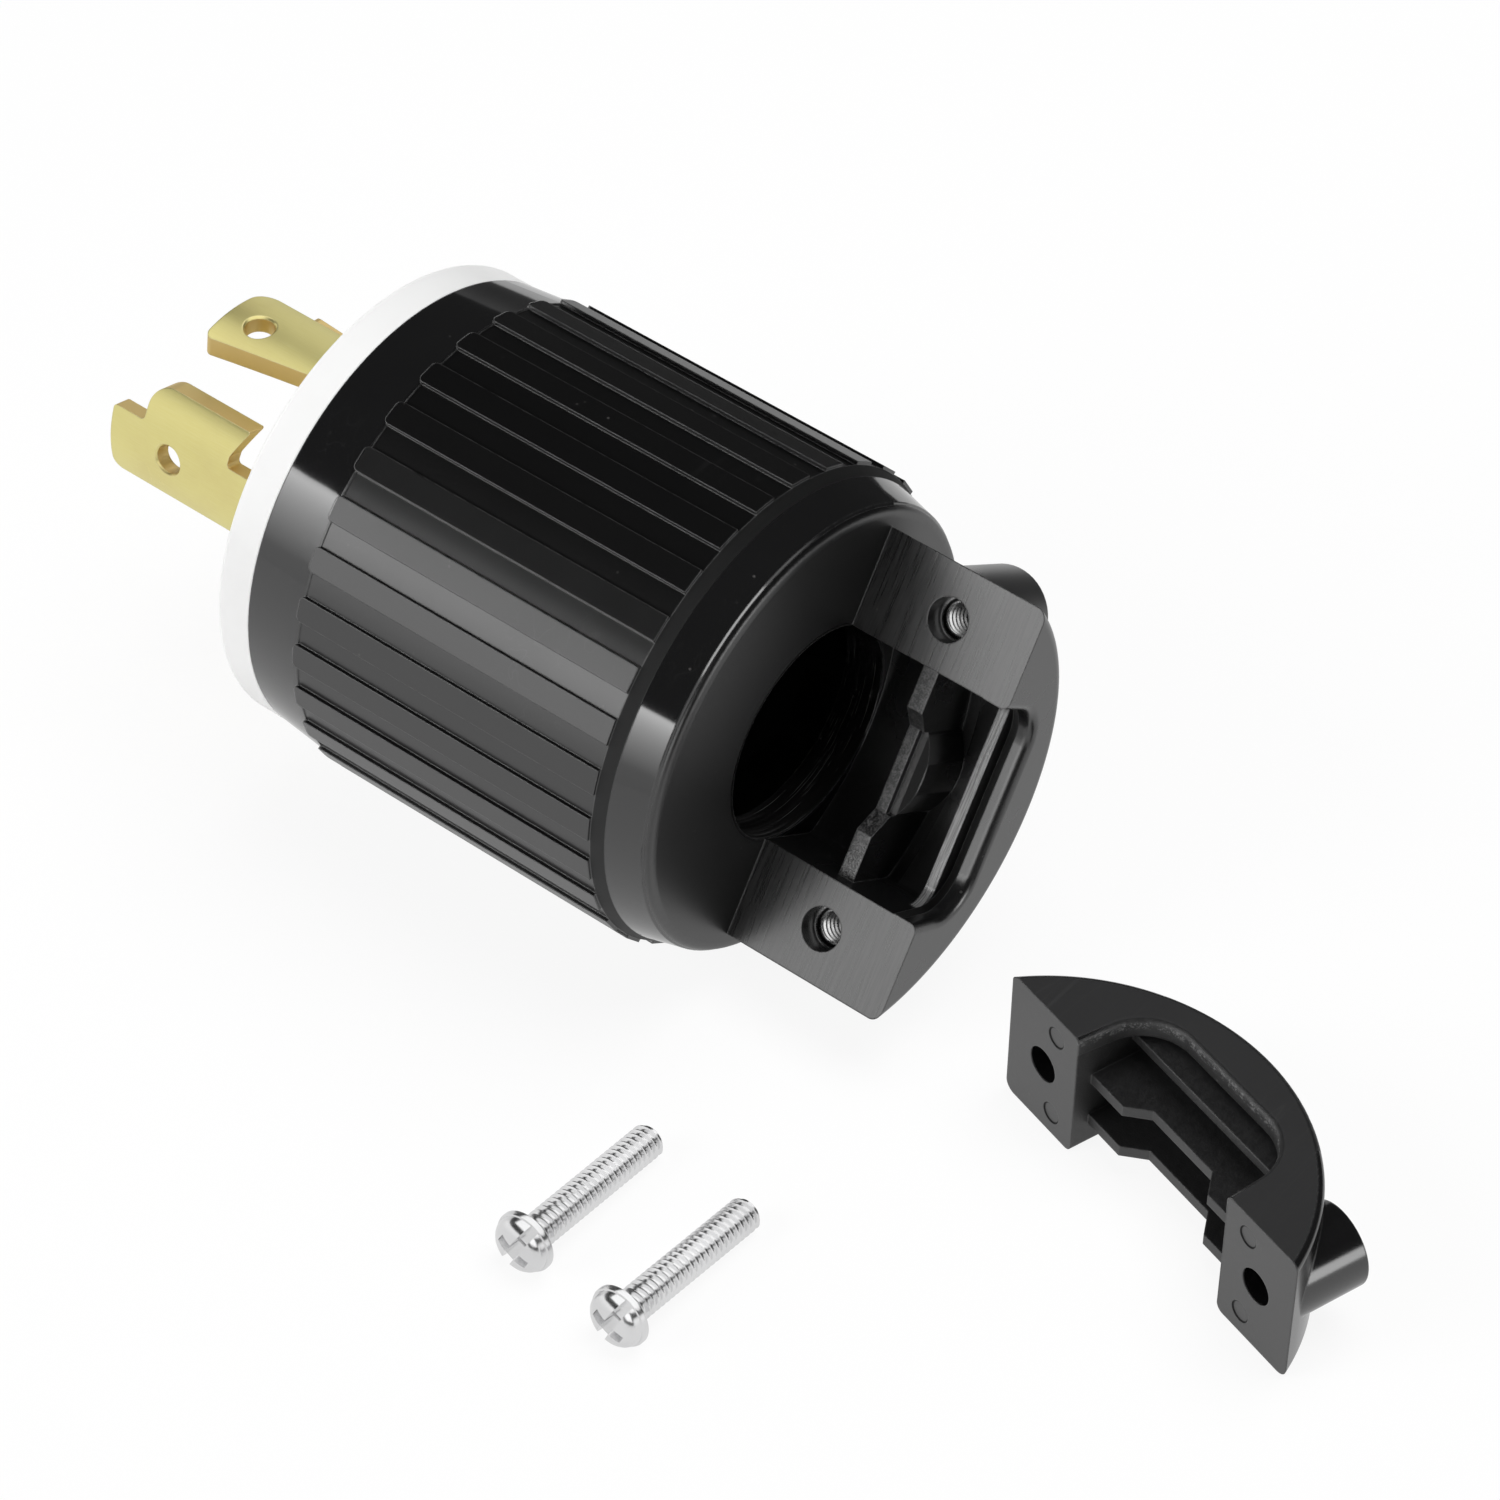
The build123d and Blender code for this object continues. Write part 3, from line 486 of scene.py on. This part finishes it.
def black_clamp_material(effects):
    """Moulded black nylon of the loose clamp half: smooth outside, textured mouth and foot."""
    material, tree, shader = new_material("moulded_black_clamp", Specular_IOR_Level=1.0)
    offset = vector_maths(tree, "SUBTRACT", object_place(tree), CLAMP_PLACE)
    wide = Vector((math.cos(CLAMP_HEADING), math.sin(CLAMP_HEADING), 0)) / MM
    deep = Vector((-math.sin(CLAMP_HEADING), math.cos(CLAMP_HEADING), 0)) / MM
    across = dot_with(tree, offset, wide)
    depth = dot_with(tree, offset, deep)
    level = dot_with(tree, offset, Vector((0, 0, 1)) / MM)
    edges = use(tree, effects["edge_catch"], Width=0.0003, Gain=5.0)
    grain = use(tree, effects["mould_grain"], Grain_Size=0.24)
    marks = use(tree, effects["handling_marks"], Amount=0.5)
    dust = use(tree, effects["dust_specks"], Amount=0.12)["Specks"]

    mouth = band(tree, across, *CLAMP_MOUTH_ACROSS)
    split = band(tree, depth, *CLAMP_SPLIT_DEPTH)
    top = between(tree, level, CLAMP_TOP - 0.05, CLAMP_TOP - 0.01)
    inside = both(tree, mouth, maths(tree, "SUBTRACT", 1.0, top))
    from_middle = maths(tree, "ABSOLUTE", maths(tree, "SUBTRACT", level, CLAMP_TOP / 2))
    mark_reach = length_of(
        tree,
        maths(tree, "SUBTRACT", maths(tree, "ABSOLUTE", across), MARK_ACROSS),
        maths(tree, "SUBTRACT", from_middle, CLAMP_TOP / 2 - MARK_INSET),
    )
    # Rims round the ejector marks, where a shadow is painted.
    painted_mark_shadow = both(tree, band(tree, mark_reach, MARK_R - 0.16, MARK_R + 0.02, 0.03), split)

    rough = blend_values(tree, grain["Tone"], 0.12, 0.2)
    rough = blend_values(tree, top, rough, 0.28)
    rough = blend_values(tree, split, rough, blend_values(tree, grain["Height"], 0.34, 0.5))
    rough = blend_values(tree, inside, rough, blend_values(tree, grain["Height"], 0.45, 0.7))
    rough = blend_values(tree, both(tree, marks["Smudges"], 0.2), rough, 0.4)
    rough = blend_values(tree, dust, rough, 0.9)

    black = blend_colours(tree, grain["Tone"], (0.004, 0.004, 0.0042, 1), (0.007, 0.007, 0.0072, 1))
    # The top face is painted a lighter black than the sides: painted light on the face that looks up.
    black = blend_colours(tree, top, black, blend_colours(
        tree, grain["Tone"], (0.022, 0.022, 0.0225, 1), (0.030, 0.030, 0.0305, 1)))
    black = blend_colours(tree, both(tree, split, grain["Height"]), black, (0.025, 0.025, 0.0255, 1))
    black = blend_colours(tree, both(tree, inside, between(tree, grain["Height"], 0.35, 0.7)),
                          black, (0.014, 0.014, 0.0142, 1))
    # Pale specks on the grain along the mouth's lip: painted glints.
    lip = both(tree, inside, band(tree, level, CLAMP_TOP - 1.2, CLAMP_TOP - 0.35, 0.2))
    black = blend_colours(tree, both(tree, lip, between(tree, grain["Height"], 0.50, 0.58)),
                          black, (0.10, 0.10, 0.10, 1))
    # Edges painted a lighter grey: partly wear, partly painted highlight.
    black = blend_colours(tree, both(tree, edges["Edge"], 0.5), black, (0.08, 0.08, 0.08, 1))
    black = blend_colours(tree, both(tree, marks["Scratches"], 0.3), black, (0.08, 0.08, 0.08, 1))
    # Near-black, matt rims round the ejector marks: painted shadow.
    black = blend_colours(tree, painted_mark_shadow, black, (0.001, 0.001, 0.001, 1))
    rough = blend_values(tree, painted_mark_shadow, rough, 0.95)
    black = blend_colours(tree, dust, black, (0.35, 0.34, 0.33, 1))

    textured = either(tree, inside, both(tree, split, 0.4))
    height = both(tree, grain["Height"], maths(tree, "ADD", textured, 0.05))
    normal = bump(tree, height, 0.6, 0.00007, edges["Normal"])
    finish_shader(tree, shader, black, rough, normal)
    return material


def white_front_material(effects):
    """White moulded front body with faint smudges and fine scratches."""
    material, tree, shader = new_material("white_front", Specular_IOR_Level=0.5)
    edges = use(tree, effects["edge_catch"], Width=0.0004, Gain=3.0)
    grain = use(tree, effects["mould_grain"], Grain_Size=0.3)
    marks = use(tree, effects["handling_marks"], Amount=0.6)
    white = blend_colours(tree, grain["Tone"], (0.86, 0.86, 0.855, 1), (0.90, 0.90, 0.897, 1))
    # Edges painted a touch lighter: painted highlight.
    white = blend_colours(tree, both(tree, edges["Edge"], 0.2), white, (0.9, 0.9, 0.9, 1))
    white = blend_colours(tree, both(tree, marks["Smudges"], 0.12), white, (0.66, 0.65, 0.62, 1))
    rough = blend_values(tree, grain["Tone"], 0.3, 0.42)
    rough = blend_values(tree, marks["Scratches"], rough, 0.6)
    normal = bump(tree, grain["Height"], 0.15, 0.00004, edges["Normal"])
    finish_shader(tree, shader, white, rough, normal)
    return material


def carrier_material(effects):
    """Dark grey fibre-filled plastic of the terminal carrier."""
    material, tree, shader = new_material("fibre_filled_carrier", Specular_IOR_Level=0.5)
    edges = use(tree, effects["edge_catch"], Width=0.0003, Gain=3.0)
    grain = use(tree, effects["mould_grain"], Grain_Size=0.4)
    dust = use(tree, effects["dust_specks"], Amount=0.8)["Specks"]
    grey = blend_colours(tree, grain["Height"], (0.025, 0.025, 0.027, 1), (0.05, 0.05, 0.052, 1))
    # Edges painted a lighter grey: partly wear, partly painted highlight.
    grey = blend_colours(tree, edges["Edge"], grey, (0.09, 0.09, 0.09, 1))
    grey = blend_colours(tree, dust, grey, (0.35, 0.34, 0.33, 1))
    rough = blend_values(tree, grain["Height"], 0.4, 0.65)
    normal = bump(tree, grain["Height"], 0.4, 0.00008, edges["Normal"])
    finish_shader(tree, shader, grey, rough, normal)
    return material


def blade_material(effects):
    """Stamped brass blades: rolled pale gold faces, darker sheared edges and hole walls."""
    material, tree, shader = new_material("stamped_brass", Metallic=1.0)
    place = use(tree, effects["plug_place"])
    edges = use(tree, effects["edge_catch"], Width=0.0002, Gain=5.0)
    grain = use(tree, effects["mould_grain"], Grain_Size=0.35)
    marks = use(tree, effects["handling_marks"], Amount=0.8)
    arc = maths(tree, "MULTIPLY", place["Round"], BLADE_ARC_R)
    rolled = use(tree, effects["tool_lines"], Run=arc, Drift=place["Along"], Line_Width=0.12)["Lines"]

    normal_out = add(tree, "ShaderNodeNewGeometry").outputs["Normal"]
    around = vector_maths(tree, "SUBTRACT", object_place(tree), AXIS_POINT)
    flattened = vector_maths(tree, "MULTIPLY", around, (0.0, 1.0, 1.0))
    outward = vector_maths(tree, "NORMALIZE", flattened)
    facing = maths(tree, "ABSOLUTE", dot_with(tree, normal_out, outward))
    sheared = between(tree, facing, 0.75, 0.45)

    gold = blend_colours(tree, grain["Tone"], (0.77, 0.69, 0.27, 1), (0.86, 0.78, 0.33, 1))
    gold = blend_colours(tree, both(tree, between(tree, rolled, 0.35, 0.7), 0.25),
                         gold, (0.90, 0.83, 0.42, 1))
    gold = blend_colours(tree, both(tree, sheared, 0.75), gold, (0.70, 0.50, 0.22, 1))
    # Edges painted pale gold: painted highlight.
    gold = blend_colours(tree, both(tree, edges["Edge"], 0.5), gold, (0.97, 0.9, 0.66, 1))
    gold = blend_colours(tree, both(tree, marks["Smudges"], 0.25), gold, (0.62, 0.47, 0.22, 1))
    rough = blend_values(tree, grain["Tone"], 0.26, 0.38)
    rough = blend_values(tree, sheared, rough, 0.5)
    rough = blend_values(tree, marks["Scratches"], rough, 0.2)
    height = maths(tree, "ADD", both(tree, rolled, 0.3), both(tree, grain["Height"], 0.2))
    normal = bump(tree, height, 0.3, 0.00004, edges["Normal"])
    finish_shader(tree, shader, gold, rough, normal)
    return material


def ear_thread_grooves(tree, effects):
    """Mask of the grooves of the thread inside the ears' inserts."""
    place = use(tree, effects["plug_place"])
    reach = length_of(
        tree,
        maths(tree, "SUBTRACT", place["Along"], HOLE_ALONG / MM),
        maths(tree, "SUBTRACT", maths(tree, "ABSOLUTE", place["Across"]), HOLE_ACROSS / MM),
    )
    return band(tree, reach, *GROOVE_REACH)


def plated_material(name, effects, bright, dull, roughness, patch, edge_width, painted_thread_shade=False):
    """Plated steel with dull patches, edges painted bright as wear and as painted highlight, a fine
    grain and maybe painted shade in the grooves of the ear threads.
    """
    rough_low, rough_high = roughness
    material, tree, shader = new_material(name, Metallic=1.0)
    edges = use(tree, effects["edge_catch"], Width=edge_width, Gain=4.0)
    grain = use(tree, effects["mould_grain"], Grain_Size=0.3)
    marks = use(tree, effects["handling_marks"], Amount=0.7)
    dulled = both(tree, between(tree, grain["Tone"], 0.35, 0.7), patch)
    # Painted shade in the grooves of the ear threads.
    if painted_thread_shade:
        dulled = either(tree, dulled, ear_thread_grooves(tree, effects))
    silver = blend_colours(tree, dulled, bright, dull)
    # Edges painted near white: partly wear, partly painted highlight.
    silver = blend_colours(tree, both(tree, edges["Edge"], 0.6), silver, (0.95, 0.95, 0.94, 1))
    rough = blend_values(tree, grain["Height"], rough_low, rough_high)
    rough = blend_values(tree, marks["Scratches"], rough, rough_high)
    normal = bump(tree, grain["Height"], 0.25, 0.00004, edges["Normal"])
    finish_shader(tree, shader, silver, rough, normal)
    return material


# Detailed metal pieces
def mesh_object(name, bm, material=None):
    """Object from a working mesh, which it uses up."""
    mesh = bpy.data.meshes.new(name)
    bm.normal_update()
    bm.to_mesh(mesh)
    bm.free()
    made = bpy.data.objects.new(name, mesh)
    bpy.context.scene.collection.objects.link(made)
    if material is not None:
        mesh.materials.append(material)
    return made


def revolve_outline(bm, outline, segments=64):
    """Turn an open outline of (radius, height) points round the z axis; radius 0 makes a pole."""
    rings = []
    for radius, height in outline:
        if radius == 0:
            rings.append([bm.verts.new((0, 0, height))])
        else:
            turns = [2 * math.pi * k / segments for k in range(segments)]
            circle = [(radius * math.cos(t), radius * math.sin(t), height) for t in turns]
            rings.append([bm.verts.new(place) for place in circle])
    for low, high in zip(rings, rings[1:]):
        for k in range(segments):
            following = (k + 1) % segments
            if len(low) == 1:
                bm.faces.new((low[0], high[following], high[k]))
            elif len(high) == 1:
                bm.faces.new((low[k], low[following], high[0]))
            else:
                bm.faces.new((low[k], low[following], high[following], high[k]))


def thread_radius(thread, share, height, length, chamfer):
    """Thread surface radius at a share of its depth, trimmed by the chamfer at its far end."""
    radius = thread["root"] + share * (thread["crest"] - thread["root"])
    return min(radius, thread["crest"] - max(0.0, height - (length - chamfer)))


def helical_thread(bm, thread, length, chamfer, inward):
    """Thread surface round the z axis from 0 to length, as one strip that climbs the helix."""
    turns = math.ceil(length / PITCH) + 1
    columns = []
    for step in range(-SEGMENTS, turns * SEGMENTS + 1):
        angle = 2 * math.pi * step / SEGMENTS
        column = []
        for phase, share in THREAD_PROFILE:
            height = min(max(PITCH * (step / SEGMENTS + phase), 0.0), length)
            radius = thread_radius(thread, 1 - share if inward else share, height, length, chamfer)
            column.append(bm.verts.new((radius * math.cos(angle), radius * math.sin(angle), height)))
        columns.append(column)
    turn_above = columns[SEGMENTS:] + [[None]] * SEGMENTS
    for step, (here, after) in enumerate(zip(columns, columns[1:])):
        above = turn_above[step][0]
        above_after = turn_above[step + 1][0]
        for a, b, c, d in zip(here, here[1:] + [above], after, after[1:] + [above_after]):
            if b is None or d is None:
                continue
            heights = [v.co.z for v in (a, b, c, d)]
            if max(heights) - min(heights) < MERGE_REACH:
                continue
            bm.faces.new((a, b, d, c) if inward else (a, c, d, b))
    bmesh.ops.remove_doubles(bm, verts=bm.verts, dist=MERGE_REACH)
    bmesh.ops.dissolve_degenerate(bm, edges=bm.edges, dist=MERGE_REACH)


def cutter_box(name, size, depth, top, taper):
    """Block that cuts a slot of the given size down from the head's top; taper narrows its floor."""
    bm = bmesh.new()
    corners = []
    for height, scale in ((top, 1.0), (top + depth, taper)):
        for sx, sy in ((-1, -1), (1, -1), (1, 1), (-1, 1)):
            corners.append(bm.verts.new((sx * size[0] / 2 * scale, sy * size[1] / 2 * scale, height)))
    for face in ((0, 3, 2, 1), (4, 5, 6, 7), (0, 1, 5, 4), (1, 2, 6, 5), (2, 3, 7, 6), (3, 0, 4, 7)):
        bm.faces.new([corners[k] for k in face])
    bmesh.ops.recalc_face_normals(bm, faces=bm.faces)
    return mesh_object(name, bm)


def cut_away(piece, cutters):
    """Subtract the cutters from the piece for good, and remove them."""
    for cutter in cutters:
        cut = piece.modifiers.new(cutter.name, "BOOLEAN")
        cut.operation = "DIFFERENCE"
        cut.solver = "EXACT"
        cut.object = cutter
    shown = piece.evaluated_get(bpy.context.evaluated_depsgraph_get())
    mesh = bpy.data.meshes.new_from_object(shown)
    piece.modifiers.clear()
    piece.data = mesh
    for cutter in cutters:
        bpy.data.objects.remove(cutter)


def head_outline():
    """Pan head from its pole to the seat, with a rounded rim."""
    dome = []
    for k in range(DOME_STEPS + 1):
        angle = k / DOME_STEPS * math.pi / 2
        radius = (HEAD_R - HEAD_RIM_R) * math.sin(angle)
        fall = (1 - math.cos(angle)) ** DOME_POWER
        dome.append((radius, (HEAD_HEIGHT - HEAD_SIDE) * fall - HEAD_HEIGHT))
    return dome + [
        (HEAD_R - HEAD_SOFT_CORNER, HEAD_SOFT_CORNER - HEAD_SIDE),
        (HEAD_R, HEAD_RIM_R - HEAD_SIDE),
        (HEAD_R, -HEAD_CHAMFER),
        (HEAD_R - HEAD_CHAMFER, 0.0),
        (SEAT_R, 0.0),
    ]


def clamp_screw(name, place, heading, turn, material):
    """Pan-head machine screw with slot and cross, lying on its head's rim and its tip."""
    bm = bmesh.new()
    revolve_outline(bm, head_outline())
    seat_edge = [v for v in bm.verts if v.co.z == 0 and v.co.xy.length < SCREW_THREAD["root"]]
    bm.faces.new(seat_edge[::-1])
    bmesh.ops.recalc_face_normals(bm, faces=bm.faces)
    head = mesh_object(name + "_head", bm, material)
    top = -HEAD_HEIGHT - CUTTER_RISE
    cut_away(head, [
        cutter_box("slot", SLOT_SIZE, SLOT_DEPTH, top, SLOT_TAPER),
        cutter_box("cross", CROSS_SIZE, CROSS_DEPTH, top, CROSS_TAPER),
    ])

    bm = bmesh.new()
    helical_thread(bm, SCREW_THREAD, SCREW_LENGTH, TIP_CHAMFER, inward=False)
    tip_r = SCREW_THREAD["crest"] - TIP_CHAMFER
    revolve_outline(bm, [
        (tip_r, SCREW_LENGTH),
        (tip_r * 0.55, SCREW_LENGTH - 0.12 * MM),
        (0, SCREW_LENGTH - 0.15 * MM),
    ])
    bm.from_mesh(head.data)
    bpy.data.objects.remove(head)
    screw = mesh_object(name + "_detailed", bm, material)

    along = Vector((math.cos(math.radians(heading)), math.sin(math.radians(heading)), 0))
    shank = along * math.cos(HEAD_TILT) - Vector((0, 0, math.sin(HEAD_TILT)))
    up = along * math.sin(HEAD_TILT) + Vector((0, 0, math.cos(HEAD_TILT)))
    slot_side = Matrix.Rotation(math.radians(turn), 3, shank) @ up
    seat = AXIS_POINT + Vector((place[0] * MM, place[1] * MM, 0))
    seat.z = HEAD_R * math.cos(HEAD_TILT)
    axes = Matrix((slot_side, shank.cross(slot_side), shank)).transposed().to_4x4()
    screw.data.transform(Matrix.Translation(seat) @ axes)
    shade_by_angle(screw)
    return screw


def ear_insert(name, across, material):
    """Threaded metal insert moulded into an ear, with its flange at the bottom."""
    bm = bmesh.new()
    helical_thread(bm, INSERT_THREAD, INSERT_LENGTH, 0.0, inward=True)
    revolve_outline(bm, [
        (INSERT_THREAD["root"] + THREAD_GAP, 0),
        (INSERT_R - INSERT_CHAMFER, 0),
        (INSERT_R, INSERT_CHAMFER),
        (INSERT_R, INSERT_LENGTH - INSERT_FLANGE),
        (INSERT_FLANGE_R, INSERT_LENGTH - INSERT_FLANGE),
        (INSERT_FLANGE_R, INSERT_LENGTH),
        (INSERT_THREAD["root"] + THREAD_GAP, INSERT_LENGTH),
    ])
    insert = mesh_object(name + "_detailed", bm, material)
    axes = Matrix((ALONG, RISE.cross(ALONG), -RISE)).transposed().to_4x4()
    middle = AXIS_POINT + ALONG * HOLE_ALONG + ACROSS * across + RISE * INSERT_TOP
    insert.data.transform(Matrix.Translation(middle) @ axes)
    shade_by_angle(insert)
    return insert


def shade_by_angle(piece):
    """Smooth shading that keeps the piece's sharp edges."""
    piece.data.shade_smooth()
    piece.data.set_sharp_from_angle(angle=SMOOTH_ANGLE)


# Scene
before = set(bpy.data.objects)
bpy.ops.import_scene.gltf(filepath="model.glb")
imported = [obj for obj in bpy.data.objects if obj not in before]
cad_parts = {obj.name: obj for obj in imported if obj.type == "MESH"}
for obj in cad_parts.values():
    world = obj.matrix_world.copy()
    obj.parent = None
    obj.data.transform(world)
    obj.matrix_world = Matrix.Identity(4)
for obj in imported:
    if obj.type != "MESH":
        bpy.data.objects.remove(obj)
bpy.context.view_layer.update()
effects = {
    "plug_place": make_plug_place(),
    "edge_catch": make_edge_catch(),
    "mould_grain": make_mould_grain(),
    "handling_marks": make_handling_marks(),
    "dust_specks": make_dust_specks(),
    "tool_lines": make_tool_lines(),
}
shell_black = black_shell_material(effects)
clamp_black = black_clamp_material(effects)
front_white = white_front_material(effects)
carrier_grey = carrier_material(effects)
blade_gold = blade_material(effects)
zinc = plated_material(
    "bright_zinc", effects, bright=(0.84, 0.84, 0.845, 1), dull=(0.64, 0.64, 0.645, 1),
    roughness=(0.14, 0.26), patch=0.5, edge_width=0.03 * MM,
)
terminal_steel = plated_material(
    "terminal_steel", effects, bright=(0.70, 0.69, 0.66, 1), dull=(0.52, 0.51, 0.49, 1),
    roughness=(0.25, 0.4), patch=0.7, edge_width=0.12 * MM,
)
# Near-black dull colour: faint dull patches, and painted shade in the thread grooves.
insert_steel = plated_material(
    "insert_steel", effects, bright=(0.80, 0.80, 0.80, 1), dull=(0.03, 0.03, 0.03, 1),
    roughness=(0.2, 0.35), patch=0.1, edge_width=0.03 * MM, painted_thread_shade=True,
)

finishes = {"housing": shell_black, "cord_clamp": clamp_black, "front_body": front_white,
            "terminal_carrier": carrier_grey}
for node_name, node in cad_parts.items():
    if node_name.startswith("blade"):
        finish = blade_gold
    elif node_name.startswith(("pressure", "terminal_screw", "assembly")):
        finish = terminal_steel
    else:
        finish = finishes.get(node_name, zinc)
    node.data.materials.clear()
    node.data.materials.append(finish)

for name, facts in CLAMP_SCREWS.items():
    screw = clamp_screw(name, facts["place"], facts["heading"], facts["turn"], zinc)
    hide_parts(name)
    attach(screw, "root")

for name, across in (("threaded_insert_upper", HOLE_ACROSS), ("threaded_insert_lower", -HOLE_ACROSS)):
    insert = ear_insert(name, across, insert_steel)
    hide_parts(name)
    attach(insert, "root")


# Floor, surroundings, lamps and camera
def studio_floor():
    """Pale floor: white to the camera and plain grey in reflections, with the object's soft shadow."""
    bm = bmesh.new()
    bmesh.ops.create_grid(bm, x_segments=4, y_segments=4, size=FLOOR_REACH)
    material = bpy.data.materials.new("studio_floor")
    material.use_nodes = True
    tree = material.node_tree
    tree.nodes.clear()
    speckle = noise(tree, object_place(tree), 40.0, 3.0)
    paint = blend_colours(tree, speckle, (0.94, 0.94, 0.942, 1), (0.96, 0.96, 0.96, 1))
    paper = add(tree, "ShaderNodeBsdfDiffuse", {"Color": paint})
    rays = add(tree, "ShaderNodeLightPath").outputs
    level = blend_values(tree, rays["Is Camera Ray"], FLOOR_LEVEL_MIRRORED, 1.0)
    glow = add(tree, "ShaderNodeEmission", {"Strength": level})
    mirrored = maths(tree, "MAXIMUM", rays["Is Glossy Ray"], rays["Is Transmission Ray"])
    to_camera = maths(tree, "MULTIPLY", rays["Is Camera Ray"], FLOOR_GLOW_TO_CAMERA)
    share = maths(tree, "MAXIMUM", to_camera, maths(tree, "MULTIPLY", mirrored, FLOOR_GLOW_MIRRORED))
    mixed = add(tree, "ShaderNodeMixShader", {0: share, 1: paper.outputs[0], 2: glow.outputs[0]})
    add(tree, "ShaderNodeOutputMaterial", {"Surface": mixed.outputs[0]})
    floor = mesh_object("studio_floor", bm, material)
    floor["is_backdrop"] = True


def studio_surroundings():
    """White to the camera; a low white horizon and a dark ceiling for light and reflections."""
    world = bpy.data.worlds.new("studio")
    bpy.context.scene.world = world
    world.use_nodes = True
    tree = world.node_tree
    tree.nodes.clear()
    direction = add(tree, "ShaderNodeTexCoord").outputs["Generated"]
    height = dot_with(tree, direction, Vector((0, 0, 1)))
    front = dot_with(tree, direction, FRONT_LEFT)
    dark_side = between(tree, dot_with(tree, direction, FRONT_RIGHT), 0.84, 0.91)
    right_side = between(tree, dot_with(tree, direction, RIGHT), 0.80, 0.92)
    limit = maths(tree, "ADD", maths(tree, "MULTIPLY", front, HORIZON_TOP_FRONT), HORIZON_TOP)
    limit = maths(tree, "SUBTRACT", limit, maths(tree, "MULTIPLY", dark_side, HORIZON_DARK_DROP))
    limit = maths(tree, "ADD", limit, maths(tree, "MULTIPLY", right_side, HORIZON_RIGHT_RISE))
    above = between(tree, maths(tree, "SUBTRACT", height, limit), -0.012, 0.012)
    rays = add(tree, "ShaderNodeLightPath").outputs
    near_limit = between(tree, maths(tree, "SUBTRACT", height, limit), -0.75, 0.0)
    sides = maths(tree, "MAXIMUM", between(tree, front, 0.1, 0.6), right_side)
    strip = maths(tree, "MULTIPLY", near_limit, sides)
    mirrored = maths(tree, "ADD", HORIZON_MIRRORED, maths(tree, "MULTIPLY", strip, HORIZON_STRIP))
    horizon = blend_values(tree, rays["Is Glossy Ray"], HORIZON_LEVEL, mirrored)
    far_side = maths(tree, "MULTIPLY", between(tree, front, -0.3, -0.5), rays["Is Glossy Ray"])
    far_side = maths(tree, "MULTIPLY", far_side, maths(tree, "SUBTRACT", 1.0, right_side))
    level = blend_values(tree, maths(tree, "MAXIMUM", above, far_side), horizon, CEILING_LEVEL)
    level = blend_values(tree, rays["Is Camera Ray"], level, 1.0)
    background = add(tree, "ShaderNodeBackground", {"Color": (1, 1, 1, 1), "Strength": level})
    add(tree, "ShaderNodeOutputWorld", {"Surface": background.outputs[0]})


def soft_lamp(name, place, size, power, shown_in=None):
    """Softbox aimed at the object; shown_in is the only collection that it lights and shows in."""
    light = bpy.data.lights.new(name, "AREA")
    light.shape = "RECTANGLE"
    light.size, light.size_y = size
    light.energy = power
    lamp = bpy.data.objects.new(name, light)
    bpy.context.scene.collection.objects.link(lamp)
    lamp.location = place
    lamp.rotation_euler = (LAMP_AIM - Vector(place)).to_track_quat("-Z", "Y").to_euler()
    lamp.visible_glossy = shown_in is not None
    if shown_in is not None:
        lamp.light_linking.receiver_collection = shown_in
    return light


def brighten_upwards(light):
    """Let a panel glow little at its foot and more and more towards its top."""
    light.use_nodes = True
    tree = light.node_tree
    place = add(tree, "ShaderNodeNewGeometry").outputs["Parametric"]
    height = add(tree, "ShaderNodeSeparateXYZ", {0: place}).outputs["Y"]
    rise = maths(tree, "ADD", height, maths(tree, "POWER", height, 4.0))
    glow = maths(tree, "MULTIPLY", rise, PANEL_SHARE)
    tree.links.new(glow, tree.nodes["Emission"].inputs["Strength"])


studio_floor()
studio_surroundings()
bright_metal = bpy.data.collections.new("bright_metal")
black_nylon = bpy.data.collections.new("black_nylon")
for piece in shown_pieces():
    finish = piece.material_slots[0].material
    if finish in (blade_gold, zinc, insert_steel):
        bright_metal.objects.link(piece)
    elif finish in (shell_black, clamp_black):
        black_nylon.objects.link(piece)
for name, place, size, power, shown_in in (
    ("overhead_softbox", (0.15, 0.25, 1.1), (0.9, 0.9), 11.0, None),
    ("front_softbox", (-0.5, -0.9, 0.7), (0.6, 0.6), 6.0, None),
    ("metal_softbox_far", (-0.3, 0.8, 0.35), (0.7, 0.7), 1.0, bright_metal),
    ("metal_softbox_overhead", (0.05, 0.1, 0.7), (1.3, 1.3), 6.2, bright_metal),
    ("metal_softbox_right", (0.6, -0.6, 0.5), (0.6, 0.6), 1.5, bright_metal),
    ("nylon_panel_right", (1.9, 0.27, 0.35), (0.8, 0.7), 6.0, black_nylon),
):
    soft_lamp(name, place, size, power, shown_in)
panel_middle = PANEL_FOOT + Vector((0, 0, PANEL_SIZE[1] / 2))
brighten_upwards(soft_lamp("nylon_panel", panel_middle, PANEL_SIZE, PANEL_POWER, black_nylon))

camera_data = bpy.data.cameras.new("photo_camera")
camera_data.lens = LENS
camera_data.sensor_width = SENSOR
camera_data.sensor_fit = "HORIZONTAL"
camera_data.clip_start = 0.01
camera = bpy.data.objects.new("photo_camera", camera_data)
bpy.context.scene.collection.objects.link(camera)
camera.location = CAMERA_PLACE
facing = CAMERA_AIM.to_track_quat("-Z", "Y").to_matrix()
camera.rotation_euler = (facing @ Matrix.Rotation(CAMERA_ROLL, 3, "Z")).to_euler()
bpy.context.scene.camera = camera
bpy.context.scene.view_settings.view_transform = "Standard"
